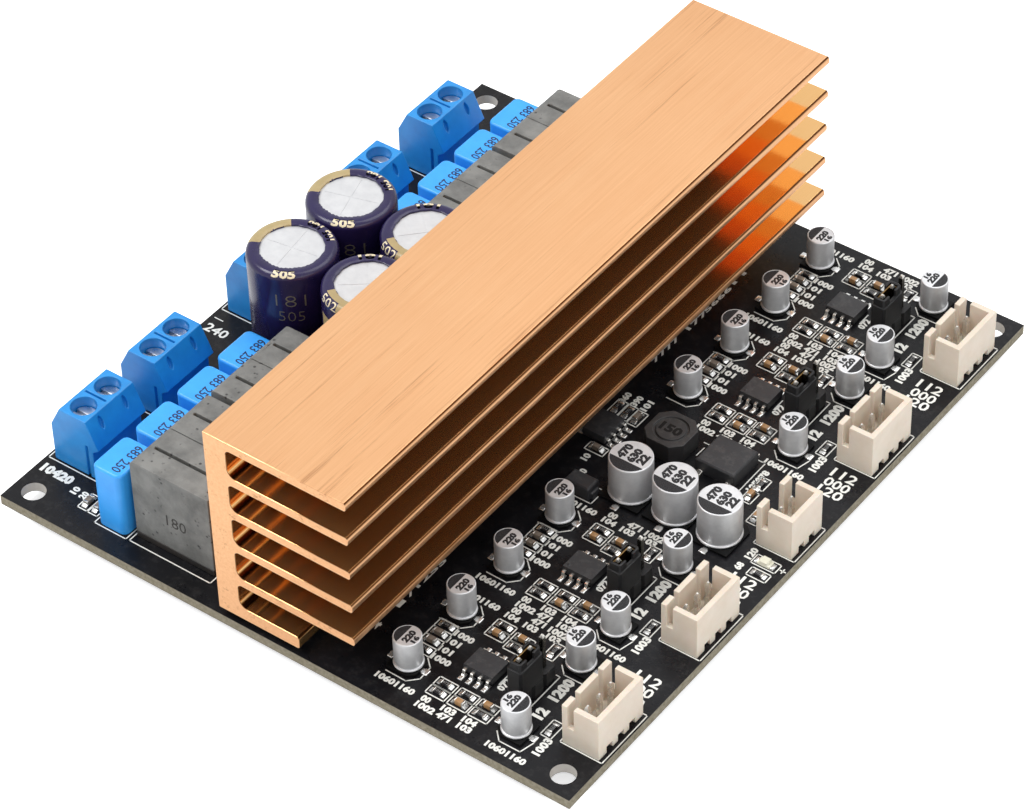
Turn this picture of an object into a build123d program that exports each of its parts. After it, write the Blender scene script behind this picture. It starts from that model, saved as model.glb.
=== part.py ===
from build123d import *
import os

# Four channel audio amplifier board with a finned heatsink, in millimetres.
# The frame's origin is the centre of the mounting hole pattern on the board's underside:
# +X runs from the loudspeaker terminals to the input headers, +Y along the heatsink, +Z up.
# Places on the output side are measured from the board's edge at -X, those on the input side from its
# edge at +X. Low rows are measured from the edge at -Y, high rows from the edge at +Y, and what belongs
# to the supply from the middle between them. Heights are measured from the board's top face.

# Board
board_width = 96.0
board_length = 110.0
board_thickness = 1.6
mounting_hole_diameter = 3.5
mounting_hole_inset = 3.25
lead_length_below = 2.0
lead_clearance = 0.08

# Channels: the four input stages repeat along the board
low_channel_inset = (12.55, 34.55)
high_channel_inset = (33.5, 11.6)

# Heatsink, one extrusion: a web, five fins and a foot that presses on the power chips
heatsink_x = 38.8
heatsink_end_gap = 0.1
heatsink_lift = 1.2
heatsink_height = 31.8
web_thickness = 3.7
fin_reach = 23.2
fin_thickness = 1.4
fin_pitch = 6.05
fin_count = 5
foot_reach = 13.7
foot_thickness = 2.1
slot_root_radius_low = 1.5
slot_root_radius_high = 0.7
fin_tip_chamfer = 0.3

# Screws that come up through the board into the heatsink's foot
heatsink_screw_x = 47.5
heatsink_screw_inset = 7.0
heatsink_thread_radius = 1.45
thread_clearance = 0.05
board_screw_hole_radius = 1.6
heatsink_head_radius = 2.7
heatsink_head_height = 1.7
socket_radius = 1.1
socket_depth = 1.0

# Power chips under the foot, with a heat pad on top of each
power_chip_x = 45.6
low_power_chip_inset = 21.5
high_power_chip_inset = 24.8
power_chip_width = 6.1
power_chip_length = 14.0
power_chip_height = 1.0
power_chip_span = 8.1
power_chip_side_leads = 22
power_chip_lead_pitch = 0.635
power_chip_lead_width = 0.25
heat_pad_margin = 0.5

# Output inductors: four blocks of two, each of them two ferrite halves round a flat wire coil. Two blocks
# stand on each side of the bulk capacitors, and so do the two rows of film capacitors.
inductor_x = 20.4
inductor_spacing = 0.85
low_inductor_gap = 0.8
high_inductor_gap = 3.4
inductor_width = 13.6
inductor_length = 16.2
inductor_base_height = 1.0
ferrite_height = 13.0
ferrite_wall = 1.3
ferrite_plate = 1.8
ferrite_plate_setback = 1.2
ferrite_gap = 0.5
ferrite_joint = 0.1
ferrite_edge_radius = 0.9
ferrite_leg_width = 4.2
ferrite_leg_height = 3.4
coil_clearance = 0.15
coil_corner_radius = 1.6
coil_lead_size = 0.8
coil_lead_pitch = 7.6

# Film capacitors, in two rows of four
film_x = 16.8
low_film_gap = 1.74
high_film_gap = 1.4
film_pitch = 8.72
film_per_row = 4
film_width = 5.0
film_length = 7.2
film_height = 10.8
film_corner_radius = 0.7
film_top_chamfer = 0.35
film_lead_pitch = 5.0
wire_size = 0.6

# Bulk capacitors, a square of four between the inductors
bulk_first_x = 16.3
bulk_offset = -3.0
bulk_pitch = 13.2
bulk_radius = 6.5
bulk_height = 21.0
bulk_rim = 0.7
bulk_sleeve_opening = 4.55
bulk_top_recess = 0.4
bulk_lead_pitch = 5.0

# Screw terminals: four outputs and the supply, each of two poles with a rising clamp
terminal_x = 1.3
low_terminal_inset = (15.05, 29.65)
supply_terminal_offset = -2.45
high_terminal_inset = (34.35, 17.15)
pole_pitch = 5.0
terminal_length = 10.1
terminal_height = 10.1
terminal_depth = 8.5
terminal_base_depth = 7.4
terminal_step_height = 4.9
terminal_shoulder_height = 5.7
terminal_crown_start = 1.8
terminal_crown_end = 6.5
terminal_back_height = 6.6
terminal_screw_x = 4.15
well_clearance = 0.1
ledge_thickness = 0.9
clamp_room_width = 4.0
clamp_room_depth = 5.2
wire_entry_width = 2.8
wire_entry_bottom = 0.8
wire_entry_top = 2.9
pole_groove_width = 0.35
pole_groove_depth = 0.8
pole_groove_margin = 0.5
end_slot_x = 6.3
end_slot_width = 0.45
end_slot_height = 5.6
end_slot_depth = 0.35
window_length = 2.2
window_width = 0.8
window_depth = 0.5
window_inset = 0.5

# Terminal screws, clamps and contacts
terminal_thread_radius = 1.2
terminal_thread_pitch = 0.45
terminal_head_radius = 1.75
terminal_head_height = 1.2
driver_slot_width = 0.5
driver_slot_depth = 0.6
sliding_clearance = 0.15
running_clearance = 0.05
clamp_turns = 4
clamp_depth = 4.0
clamp_wall = 0.5
clamp_floor = 0.5
clamp_lift = 0.35
clamp_head = 0.9
contact_bar_height = 2.9
contact_bar_thickness = 0.5
contact_bar_width = 2.4
contact_post_thickness = 0.8

# Input headers: open boxes with one slotted wall, pins at 2.5 mm
header_edge_gap = 0.85
supply_header_offset = 0.5
header_pin_counts = (3, 3, 2, 3, 3)
header_pin_pitch = 2.5
header_end_length = 2.45
header_depth = 5.75
header_height = 7.0
header_wall = 0.85
header_floor = 1.3
header_pin_inset = 3.4
header_slot_width = 0.9
header_post_width = 2.0
header_end_slot_width = 1.0
header_end_slot_bottom = 3.2
header_notch_width = 1.3
header_notch_height = 1.1
header_pin_top = 6.1
square_pin = 0.64

# Selector headers: a row of three pins, with a removable cap and its contact over two of them
selector_inset = 15.1
pin_pitch = 2.54
selector_pin_count = 3
selector_base_height = 2.5
selector_corner_cut = 0.4
selector_pin_top = 8.35
cap_length = 4.98
cap_width = 2.42
cap_height = 5.6
cap_collar_height = 4.35
cap_collar_step = 0.22
cap_corner_cut = 0.3
cap_notch_width = 1.5
cap_notch_depth = 1.1
cap_contact_thickness = 0.18
cap_contact_bottom = 0.3
cap_contact_top = 5.3
cap_contact_clearance = 0.08
cap_wall_clearance = 0.04

# Eight lead chips: four input amplifiers and the converter's controller
chip_body_length = 4.9
chip_body_width = 3.9
chip_body_top = 1.45
chip_standoff = 0.1
chip_side_slope = 0.25
chip_lead_pitch = 1.27
chip_lead_width = 0.42
chip_lead_thickness = 0.2
chip_span = 6.1
amplifier_chip_inset = 22.05
amplifier_chip_offset = -0.45
controller_chip_place = (36.1, 3.0)

# Surface mounted electrolytic capacitors
small_can_radius = 2.0
small_can_height = 5.4
small_pair_centre = 0.4
small_left_inset = 31.0
small_left_spread = 5.8
small_right_inset = 12.55
small_right_spread = 7.1
large_can_radius = 3.15
large_can_height = 6.7
large_can_places = ((25.9, -4.8), (18.7, -4.7), (11.4, -4.7))
can_base_margin = 0.15
can_base_height = 0.6
can_base_corner = 0.9
can_rim = 0.25

# Converter parts and indicator
power_inductor_place = (26.8, 6.0)
power_inductor_size = 6.6
power_inductor_height = 3.0
power_inductor_corner = 1.5
power_inductor_ring_radius = 2.5
power_inductor_ring_width = 0.35
power_inductor_ring_depth = 0.25
regulator_place = (18.1, 6.8)
regulator_width = 6.4
regulator_length = 6.1
regulator_height = 2.3
regulator_tab_width = 5.3
regulator_tab_length = 1.2
regulator_tab_thickness = 0.5
regulator_lead_pitch = 2.28
regulator_lead_length = 2.4
regulator_lead_width = 0.8
moulding_slope = 0.25
diode_place = (31.7, -8.3)
diode_length = 4.1
diode_width = 2.6
diode_height = 2.1
diode_lead_length = 0.4
diode_lead_width = 1.5
led_place = (3.3, -5.75)
led_length = 2.0
led_width = 1.25
led_base_height = 0.4
led_lens_length = 1.2
led_lens_height = 0.8

# Chip resistors and chip capacitors
chip_part_length = 1.6
chip_part_width = 0.8
resistor_height = 0.45
capacitor_height = 0.8
stack_inset = 31.1
stack_pitch = 1.66
group_inset = (24.8, 21.3, 17.9)
group_pitch = 1.7
low_group = -7.3
high_group = 5.5
high_group_step = 0.65
high_lone_chip = (16.8, 7.3)
low_lone_chip = (8.9, -3.95)
converter_resistors = ((37.2, 7.9, 90), (35.4, 7.8, 90), (2.9, -8.0, 0), (12.2, 6.4, 90))
converter_capacitors = ((34.7, -0.6, 0), (33.6, 7.6, 90), (12.2, 4.0, 90), (9.2, 1.0, 90))
supply_capacitors = ((10.9, 6.0, 90), (12.7, 6.0, 90))

# Worked out from the sizes above
middle_y = board_length / 2
bulk_middle_y = middle_y + bulk_offset
bulk_reach = bulk_pitch / 2 + bulk_radius
heatsink_length = board_length - 2 * heatsink_end_gap
selector_x = board_width - selector_inset
cap_contact_reach = square_pin / 2 + cap_contact_clearance + cap_contact_thickness
amplifier_chip_x = board_width - amplifier_chip_inset
lead_bottom = -board_thickness - lead_length_below
contact_top = contact_bar_height + contact_bar_thickness
clamp_head_bottom = contact_top + running_clearance
clamp_travel = clamp_turns * terminal_thread_pitch
clamp_room_height = clamp_head_bottom + clamp_head + clamp_travel + sliding_clearance
ledge_height = clamp_room_height + ledge_thickness
contact_post_x = (clamp_room_depth - contact_post_thickness) / 2
header_face_x = board_width - header_edge_gap
coil_end = inductor_width - coil_clearance
coil_low = inductor_base_height + ferrite_plate + coil_clearance
coil_high = inductor_base_height + ferrite_height - ferrite_plate - coil_clearance


def rows(low, high):
    # Rows that are measured from the board's edge at -Y, and others from its edge at +Y
    return (*low, *[board_length - inset for inset in high])


def beside_bulk(low_gap, high_gap, length, pitch, count):
    # Two rows of equal parts, one on each side of the bulk capacitors
    low_end = bulk_middle_y - bulk_reach - low_gap - length / 2
    high_start = bulk_middle_y + bulk_reach + high_gap + length / 2
    low = [low_end - pitch * step for step in reversed(range(count))]
    return low + [high_start + pitch * step for step in range(count)]


channel_y = rows(low_channel_inset, high_channel_inset)
inductor_y = beside_bulk(
    low_inductor_gap, high_inductor_gap, inductor_length, inductor_length + inductor_spacing, 2
)
film_y = beside_bulk(low_film_gap, high_film_gap, film_length, film_pitch, film_per_row)
power_chip_y = rows([low_power_chip_inset], [high_power_chip_inset])
heatsink_screw_y = rows([heatsink_screw_inset, middle_y], [heatsink_screw_inset])
terminal_y = rows([*low_terminal_inset, middle_y + supply_terminal_offset], high_terminal_inset)
header_y = (*channel_y[:2], middle_y + supply_header_offset, *channel_y[2:])


def on_board(x, y, turn=0.0):
    return Location((x - board_width / 2, y - board_length / 2, board_thickness), (0, 0, turn))


def input_side(inset, y, turn=0.0):
    # A place that is measured from the board's edge at +X
    return (board_width - inset, y, turn)


def supply_side(inset, offset, turn=0.0):
    # A place that is measured from the edge at +X and from the middle of the board's length
    return input_side(inset, middle_y + offset, turn)


def block(x, y, z, at=(0.0, 0.0, 0.0)):
    # A box that stands on its place, centred in x and y
    return Pos(*at) * Box(x, y, z, align=(Align.CENTER, Align.CENTER, Align.MIN))


def rod(radius, height, at=(0.0, 0.0, 0.0)):
    return Pos(*at) * Cylinder(radius, height, align=(Align.CENTER, Align.CENTER, Align.MIN))


def span(x0, x1, y0, y1, z0, z1):
    # A box between two corners
    return Pos(x0, y0, z0) * Box(x1 - x0, y1 - y0, z1 - z0, align=(Align.MIN,) * 3)


def across(profile, length):
    # Extrudes an x, z outline along y, centred
    return Rot(90, 0, 0) * extrude(profile, length / 2, both=True)


def outline(*points):
    return make_face(Polyline(*points, close=True))


def lead(size, top, x=0.0, y=0.0):
    # Leads are square here and so are their holes: all end at one depth, which the board rests on
    return block(size, size, top - lead_bottom, (x, y, lead_bottom))


def save(name, solids):
    export_step(Compound(label=name, children=solids), f"parts/{name}.step")


def spread(part, places):
    return [part.moved(on_board(*place)) for place in places]


# Places that both the parts and the board's holes use
def header_pin_steps(count):
    return [header_pin_pitch * (step - (count - 1) / 2) for step in range(count)]


def header_pin_places():
    return [
        (header_face_x - header_pin_inset, y + step)
        for y, count in zip(header_y, header_pin_counts)
        for step in header_pin_steps(count)
    ]


def selector_steps():
    return [pin_pitch * (step - (selector_pin_count - 1) / 2) for step in range(selector_pin_count)]


def selector_pin_places():
    return [(selector_x, y + step) for y in channel_y for step in selector_steps()]


def cap_places():
    # Each cap stands over the first two pins of its row
    first, second = selector_steps()[:2]
    return [(selector_x, y + (first + second) / 2) for y in channel_y]


def pole_places():
    x = terminal_x + terminal_screw_x
    return [(x, y + side * pole_pitch / 2) for y in terminal_y for side in (-1, 1)]


def coil_places():
    return [(inductor_x, y + side * inductor_length / 4) for y in inductor_y for side in (-1, 1)]


def coil_lead_steps():
    return [inductor_width / 2 + side * coil_lead_pitch / 2 for side in (-1, 1)]


def film_places():
    return [(film_x, y) for y in film_y]


def bulk_places():
    return [
        (bulk_first_x + bulk_pitch * column, bulk_middle_y + bulk_pitch * (row - 0.5))
        for column in range(2)
        for row in range(2)
    ]


def make_board():
    leads = [(x, y, square_pin) for x, y in header_pin_places() + selector_pin_places()]
    leads += [(x + contact_post_x, y, contact_post_thickness) for x, y in pole_places()]
    leads += [(x + step, y, coil_lead_size) for x, y in coil_places() for step in coil_lead_steps()]
    leads += [(x, y + side * film_lead_pitch / 2, wire_size) for x, y in film_places() for side in (-1, 1)]
    leads += [(x + side * bulk_lead_pitch / 2, y, wire_size) for x, y in bulk_places() for side in (-1, 1)]
    holes = []
    for x, y, size in leads:
        width = size + 2 * lead_clearance
        holes.append(block(width, width, board_thickness, (0, 0, -board_thickness)).moved(on_board(x, y)))
    for y in heatsink_screw_y:
        hole = rod(board_screw_hole_radius, board_thickness, (0, 0, -board_thickness))
        holes.append(hole.moved(on_board(heatsink_screw_x, y)))
    spacing_x = board_width - 2 * mounting_hole_inset
    spacing_y = board_length - 2 * mounting_hole_inset
    for place in GridLocations(spacing_x, spacing_y, 2, 2):
        holes.append(place * rod(mounting_hole_diameter / 2, board_thickness))
    return block(board_width, board_length, board_thickness) - holes


def make_fin_slot(low, high):
    # The slot between two fins, with its two corners at the web rounded
    slot = Rectangle(fin_reach, high - low, align=(Align.MIN, Align.MIN))
    bottom = slot.vertices().sort_by(Axis.X)[:2].sort_by(Axis.Y)[0]
    slot = fillet(bottom, slot_root_radius_low)
    top = slot.vertices().sort_by(Axis.Y)[-2:].sort_by(Axis.X)[0]
    return Pos(web_thickness, low) * fillet(top, slot_root_radius_high)


def make_heatsink():
    section = Rectangle(fin_reach, heatsink_height, align=(Align.MIN, Align.MIN))
    for step in range(fin_count):
        high = heatsink_height - fin_thickness - fin_pitch * step
        last = step == fin_count - 1
        low = foot_thickness if last else high + fin_thickness - fin_pitch
        section -= make_fin_slot(low, high)
    section -= Pos(foot_reach, 0) * Rectangle(fin_reach, foot_thickness, align=(Align.MIN, Align.MIN))
    tips = section.vertices().filter_by(lambda corner: corner.X > foot_reach - fin_tip_chamfer)
    heatsink = across(chamfer(tips, fin_tip_chamfer), heatsink_length)
    for y in heatsink_screw_y:
        place = (heatsink_screw_x - heatsink_x, y - board_length / 2, 0)
        heatsink -= rod(heatsink_thread_radius + thread_clearance, foot_thickness, place)
    return Pos(0, 0, heatsink_lift) * heatsink


def make_heatsink_screw():
    head_bottom = -board_thickness - heatsink_head_height
    screw = rod(heatsink_head_radius, heatsink_head_height, (0, 0, head_bottom))
    screw += rod(heatsink_thread_radius, heatsink_lift + foot_thickness - head_bottom, (0, 0, head_bottom))
    return screw - Pos(0, 0, head_bottom) * extrude(RegularPolygon(socket_radius, 6), socket_depth)


def make_power_chip():
    body_height = power_chip_height - chip_standoff
    chip = block(power_chip_width, power_chip_length, body_height, (0, 0, chip_standoff))
    reach = (power_chip_span - power_chip_width) / 2
    foot = block(reach, power_chip_lead_width, chip_standoff + chip_lead_thickness)
    for step in range(power_chip_side_leads):
        y = power_chip_lead_pitch * (step - (power_chip_side_leads - 1) / 2)
        for side in (-1, 1):
            chip += Pos(side * (power_chip_width + reach) / 2, y, 0) * foot
    return chip


def make_heat_pad():
    width = power_chip_width - heat_pad_margin
    length = power_chip_length - heat_pad_margin
    return block(width, length, heatsink_lift - power_chip_height, (0, 0, power_chip_height))


def make_ferrite_half():
    # Its outer end is at y = 0 and the face that meets the other half at y = depth
    depth = inductor_length / 4 - ferrite_joint / 2
    low = inductor_base_height
    high = low + ferrite_height
    front = inductor_width - ferrite_plate_setback
    half = span(0, inductor_width, 0, depth, low, high)
    top_edge = half.edges().filter_by(Axis.Y).group_by(Axis.Z)[-1].sort_by(Axis.X)[0]
    half = fillet(top_edge, ferrite_edge_radius)
    inside = (ferrite_wall, inductor_width, ferrite_wall, depth)
    half -= span(*inside, low + ferrite_plate, high - ferrite_plate)
    half -= span(front, inductor_width, ferrite_wall, depth, low, high)
    half += Pos((ferrite_wall + front) / 2, 0, (low + high - ferrite_leg_height) / 2) * span(
        -ferrite_leg_width / 2, ferrite_leg_width / 2, ferrite_wall, depth, 0, ferrite_leg_height
    )
    half -= span(ferrite_wall, inductor_width, depth - ferrite_gap / 2, depth, low, high)
    notch = coil_lead_size + 2 * coil_clearance
    for x in coil_lead_steps():
        half -= block(notch, notch, ferrite_plate, (x, depth, low))
    return half


def make_core():
    # Two inductors end to end, so four halves in line
    half = make_ferrite_half()
    other = mirror(half, about=Plane.XZ)
    halves = []
    for middle in (-inductor_length / 4, inductor_length / 4):
        reach = inductor_length / 4 - ferrite_joint / 2
        halves.append(Pos(0, middle - reach, 0) * half)
        halves.append(Pos(0, middle + reach, 0) * other)
    return halves


def make_coil():
    # Flat wire wound on edge round the middle leg, and its two leads
    width = inductor_length / 2 - 2 * (ferrite_wall + coil_clearance + ferrite_joint)
    start = ferrite_wall + coil_clearance
    outer = Pos((start + coil_end) / 2, (coil_low + coil_high) / 2) * RectangleRounded(
        coil_end - start, coil_high - coil_low, coil_corner_radius
    )
    leg_x = (ferrite_wall + inductor_width - ferrite_plate_setback) / 2
    leg_space = Pos(leg_x, (coil_low + coil_high) / 2) * Rectangle(
        ferrite_leg_width + 2 * coil_clearance, ferrite_leg_height + 2 * coil_clearance
    )
    coil = across(outer - leg_space, width)
    for x in coil_lead_steps():
        coil += lead(coil_lead_size, coil_low + coil_lead_size, x)
    return coil


def make_inductor_base():
    base = span(0, inductor_width, -inductor_length / 2, inductor_length / 2, 0, inductor_base_height)
    hole = coil_lead_size + 2 * coil_clearance
    for x in coil_lead_steps():
        for side in (-1, 1):
            base -= block(hole, hole, inductor_base_height, (x, side * inductor_length / 4, 0))
    return base


def make_film_capacitor():
    body = extrude(RectangleRounded(film_width, film_length, film_corner_radius), film_height)
    body = chamfer(body.faces().sort_by(Axis.Z)[-1].edges(), film_top_chamfer)
    for side in (-1, 1):
        body += lead(wire_size, 0, 0, side * film_lead_pitch / 2)
    return body


def make_bulk_capacitor():
    # The sleeve turns in over the can's top, which lies a little lower
    face = bulk_height - bulk_top_recess
    side = outline(
        (0, 0),
        (bulk_radius, 0),
        (bulk_radius, bulk_height - bulk_rim),
        (bulk_radius - bulk_rim, bulk_height),
        (bulk_sleeve_opening, bulk_height),
        (bulk_sleeve_opening, face),
        (0, face),
    )
    can = revolve(Rot(90, 0, 0) * side, Axis.Z)
    for end in (-1, 1):
        can += lead(wire_size, 0, end * bulk_lead_pitch / 2)
    return can


def make_window():
    # Lens shaped slot that is cut square to the sloped inner face of a terminal
    rise = terminal_height - terminal_shoulder_height
    run = terminal_depth - terminal_crown_end
    half = window_length / 2
    arc_low = ThreePointArc((-half, 0), (0, -window_width / 2), (half, 0))
    arc_high = ThreePointArc((half, 0), (0, window_width / 2), (-half, 0))
    lens = make_face([arc_low, arc_high])
    slope = Vector(run, 0, -rise).normalized()
    middle = Vector(terminal_crown_end, 0, terminal_height) + slope * (window_inset + half)
    face = Plane(origin=middle, x_dir=slope, z_dir=Vector(rise, 0, run).normalized())
    return extrude(face * lens, -window_depth)


def make_terminal_housing():
    side = outline(
        (0, 0),
        (terminal_base_depth, 0),
        (terminal_base_depth, terminal_step_height),
        (terminal_depth, terminal_shoulder_height),
        (terminal_crown_end, terminal_height),
        (terminal_crown_start, terminal_height),
        (0, terminal_back_height),
    )
    housing = across(side, terminal_length)
    room = block(clamp_room_depth, clamp_room_width, clamp_room_height)
    passage = rod(terminal_thread_radius + sliding_clearance, terminal_height)
    well = rod(terminal_head_radius + well_clearance, terminal_height, (0, 0, ledge_height))
    entry = span(
        -terminal_screw_x, 0, -wire_entry_width / 2, wire_entry_width / 2, wire_entry_bottom, wire_entry_top
    )
    window = make_window()
    for side in (-1, 1):
        for hollow in (room, passage, well, entry):
            housing -= Pos(terminal_screw_x, side * pole_pitch / 2, 0) * hollow
        housing -= Pos(0, side * pole_pitch / 2, 0) * window
        end_slot = block(end_slot_width, 2 * end_slot_depth, end_slot_height)
        housing -= Pos(end_slot_x, side * terminal_length / 2, 0) * end_slot
    groove_start = terminal_crown_start + pole_groove_margin
    groove_end = terminal_crown_end - pole_groove_margin
    groove_bottom = terminal_height - pole_groove_depth
    half = pole_groove_width / 2
    return housing - span(groove_start, groove_end, -half, half, groove_bottom, terminal_height)


def make_terminal_screw():
    # Its slotted head turns on the ledge in the well, its thread lifts the clamp
    top = ledge_height + terminal_head_height
    tip = contact_top + sliding_clearance
    screw = rod(terminal_head_radius, terminal_head_height, (0, 0, ledge_height))
    screw += rod(terminal_thread_radius, ledge_height - tip, (0, 0, tip))
    return screw - block(
        2 * terminal_head_radius, driver_slot_width, driver_slot_depth, (0, 0, top - driver_slot_depth)
    )


def make_terminal_clamp():
    # A cage round the contact bar, which the screw draws up to grip the wire
    width = clamp_room_width - 2 * sliding_clearance
    start = sliding_clearance - clamp_room_depth / 2
    window_bottom = clamp_lift + clamp_floor
    top = clamp_head_bottom + clamp_head
    cage = span(start, start + clamp_depth, -width / 2, width / 2, clamp_lift, top)
    inside = width / 2 - clamp_wall
    cage -= span(start, start + clamp_depth, -inside, inside, window_bottom, clamp_head_bottom)
    return cage - rod(terminal_thread_radius + running_clearance, clamp_head, (0, 0, clamp_head_bottom))


def make_terminal_contact():
    # The bar that the wire is gripped against, on a post with its lead
    bar = block(clamp_room_depth, contact_bar_width, contact_bar_thickness, (0, 0, contact_bar_height))
    post = block(contact_post_thickness, contact_bar_width, contact_bar_height, (contact_post_x, 0, 0))
    return bar + post + lead(contact_post_thickness, 0, contact_post_x)


def make_header_housing(count):
    # Its plain outer face is at x = 0, its slotted inner wall at x = -header_depth
    length = header_pin_pitch * (count - 1) + 2 * header_end_length
    end = length / 2
    inner = header_wall - header_depth
    housing = span(-header_depth, 0, -end, end, 0, header_height)
    housing -= span(inner, -header_wall, header_wall - end, end - header_wall, header_floor, header_height)
    post = end - header_post_width
    if count > 2:
        cuts = ((-post, -post + header_slot_width), (post - header_slot_width, post))
    else:
        cuts = ((-post, post),)
    for low, high in cuts:
        housing -= span(-header_depth, inner, low, high, header_floor, header_height)
    slot = block(header_end_slot_width, header_wall, header_height)
    for side in (-1, 1):
        place = (inner + header_end_slot_width / 2, side * (end - header_wall / 2), header_end_slot_bottom)
        housing -= Pos(*place) * slot
    for step in header_pin_steps(count):
        housing -= block(header_wall, header_notch_width, header_notch_height, (-header_wall / 2, step, 0))
        housing -= block(square_pin, square_pin, header_floor, (-header_pin_inset, step, 0))
    return housing


def make_selector_base():
    # One block with cut corners round each pin, so the row has a notch between every two
    plate = Rectangle(pin_pitch, pin_pitch)
    cell = extrude(chamfer(plate.vertices(), selector_corner_cut), selector_base_height)
    cell -= block(square_pin, square_pin, selector_base_height)
    return Part() + [Pos(0, step, 0) * cell for step in selector_steps()]


def round_two_pins(reach):
    # A rectangle that goes round two pins at one distance from their centres
    return Rectangle(2 * reach, pin_pitch + 2 * reach)


def make_jumper_cap():
    # A collar and two towers with a notch between them, open from top to bottom for the contact
    plate = Rectangle(cap_width, cap_length)
    narrow = Rectangle(cap_width - 2 * cap_collar_step, cap_length - 2 * cap_collar_step)
    cap = extrude(chamfer(plate.vertices(), cap_corner_cut), cap_collar_height)
    cap += extrude(chamfer(narrow.vertices(), cap_corner_cut), cap_height)
    cap -= extrude(round_two_pins(cap_contact_reach + cap_wall_clearance), cap_height)
    cap -= block(cap_width, cap_notch_width, cap_notch_depth, (0, 0, cap_height - cap_notch_depth))
    return Pos(0, 0, selector_base_height) * cap


def make_jumper_contact():
    # Sheet metal bent round both pins and open towards +X
    inner = cap_contact_reach - cap_contact_thickness
    sheet = round_two_pins(cap_contact_reach) - Pos(cap_contact_thickness, 0) * Rectangle(
        2 * cap_contact_reach, pin_pitch + 2 * inner
    )
    contact = extrude(sheet, cap_contact_top - cap_contact_bottom)
    return Pos(0, 0, selector_base_height + cap_contact_bottom) * contact


def make_gull_lead():
    # Out of the body's side and down to a foot, as an x, z outline
    side = chip_body_width / 2
    end = chip_span / 2
    knee = (side + end) / 2
    middle = (chip_standoff + chip_body_top) / 2
    thick = chip_lead_thickness
    bend = outline(
        (side - thick, middle),
        (side - thick, middle + thick),
        (knee, middle + thick),
        (knee + thick / 2, thick),
        (end, thick),
        (end, 0),
        (knee - thick / 2, 0),
        (knee - thick, middle),
    )
    return across(bend, chip_lead_width)


def make_eight_lead_chip():
    # Long side along x, with four leads at +Y and four at -Y
    length = chip_body_length - chip_side_slope
    width = chip_body_width - chip_side_slope
    middle = (chip_standoff + chip_body_top) / 2
    chip = loft(
        [
            Pos(0, 0, chip_standoff) * Rectangle(length, width),
            Pos(0, 0, middle) * Rectangle(chip_body_length, chip_body_width),
            Pos(0, 0, chip_body_top) * Rectangle(length, width),
        ],
        ruled=True,
    )
    foot = make_gull_lead()
    for step in range(4):
        for turn in (90, -90):
            chip += Pos(chip_lead_pitch * (step - 1.5), 0, 0) * (Rot(0, 0, turn) * foot)
    return chip


def make_can(radius, height):
    # Aluminium can on a square base that has two of its corners cut
    width = 2 * (radius + can_base_margin)
    plate = Rectangle(width, width)
    base = extrude(chamfer(plate.vertices().sort_by(Axis.X)[:2], can_base_corner), can_base_height)
    can = rod(radius, height - can_base_height, (0, 0, can_base_height))
    return base + chamfer(can.edges().sort_by(Axis.Z)[-1], can_rim)


def small_can_places():
    left = [(small_left_inset, small_pair_centre + side * small_left_spread, 180) for side in (-1, 1)]
    right = [(small_right_inset, small_pair_centre + side * small_right_spread, 0) for side in (-1, 1)]
    return [
        input_side(inset, centre + y, turn)
        for centre in channel_y
        for inset, y, turn in left + right
    ]


def make_power_inductor():
    plate = Rectangle(power_inductor_size, power_inductor_size)
    body = extrude(chamfer(plate.vertices(), power_inductor_corner), power_inductor_height)
    ring = Circle(power_inductor_ring_radius)
    ring -= Circle(power_inductor_ring_radius - power_inductor_ring_width)
    return body - Pos(0, 0, power_inductor_height - power_inductor_ring_depth) * extrude(
        ring, power_inductor_ring_depth
    )


def make_moulding(x, y, z):
    # A moulded body, narrower at its top
    body = block(x, y, z)
    return chamfer(body.faces().sort_by(Axis.Z)[-1].edges(), moulding_slope)


def make_regulator():
    # Metal tab at +Y, two leads at -Y
    tab_y = (regulator_length + regulator_tab_length) / 2
    lead_y = -(regulator_length + regulator_lead_length) / 2
    tab = block(regulator_tab_width, regulator_tab_length, regulator_tab_thickness, (0, tab_y, 0))
    body = make_moulding(regulator_width, regulator_length, regulator_height) + tab
    for side in (-1, 1):
        place = (side * regulator_lead_pitch, lead_y, 0)
        body += block(regulator_lead_width, regulator_lead_length, regulator_tab_thickness, place)
    return body


def make_diode():
    ends = block(diode_length + 2 * diode_lead_length, diode_lead_width, diode_height / 2)
    return make_moulding(diode_length, diode_width, diode_height) + ends


def make_led():
    base = block(led_length, led_width, led_base_height)
    return base + block(led_lens_length, led_width, led_lens_height)


def channel_chips():
    # One channel's chip parts, from the edge at +X and the channel's centre
    stack = [(stack_inset, small_pair_centre + stack_pitch * (step - 1.5), 0) for step in range(4)]
    left, middle, right = group_inset
    second = low_group + group_pitch
    above = high_group - high_group_step
    resistors = [
        stack[0],
        stack[3],
        (left, low_group, 0),
        (right, low_group, 0),
        (left, second, 0),
        (middle, second, 0),
        (left, high_group + group_pitch, 0),
        (middle, above, 0),
        (*high_lone_chip, 90),
        (*low_lone_chip, 90),
    ]
    capacitors = [
        stack[1],
        stack[2],
        (middle, low_group, 0),
        (right, second, 0),
        (left, high_group, 0),
        (middle, above + group_pitch, 0),
    ]
    return resistors, capacitors


def chip_places():
    channel_resistors, channel_capacitors = channel_chips()
    resistors = [supply_side(*place) for place in converter_resistors]
    capacitors = [supply_side(*place) for place in converter_capacitors]
    capacitors += supply_capacitors
    for centre in channel_y:
        resistors += [input_side(inset, centre + y, turn) for inset, y, turn in channel_resistors]
        capacitors += [input_side(inset, centre + y, turn) for inset, y, turn in channel_capacitors]
    return resistors, capacitors


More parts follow.
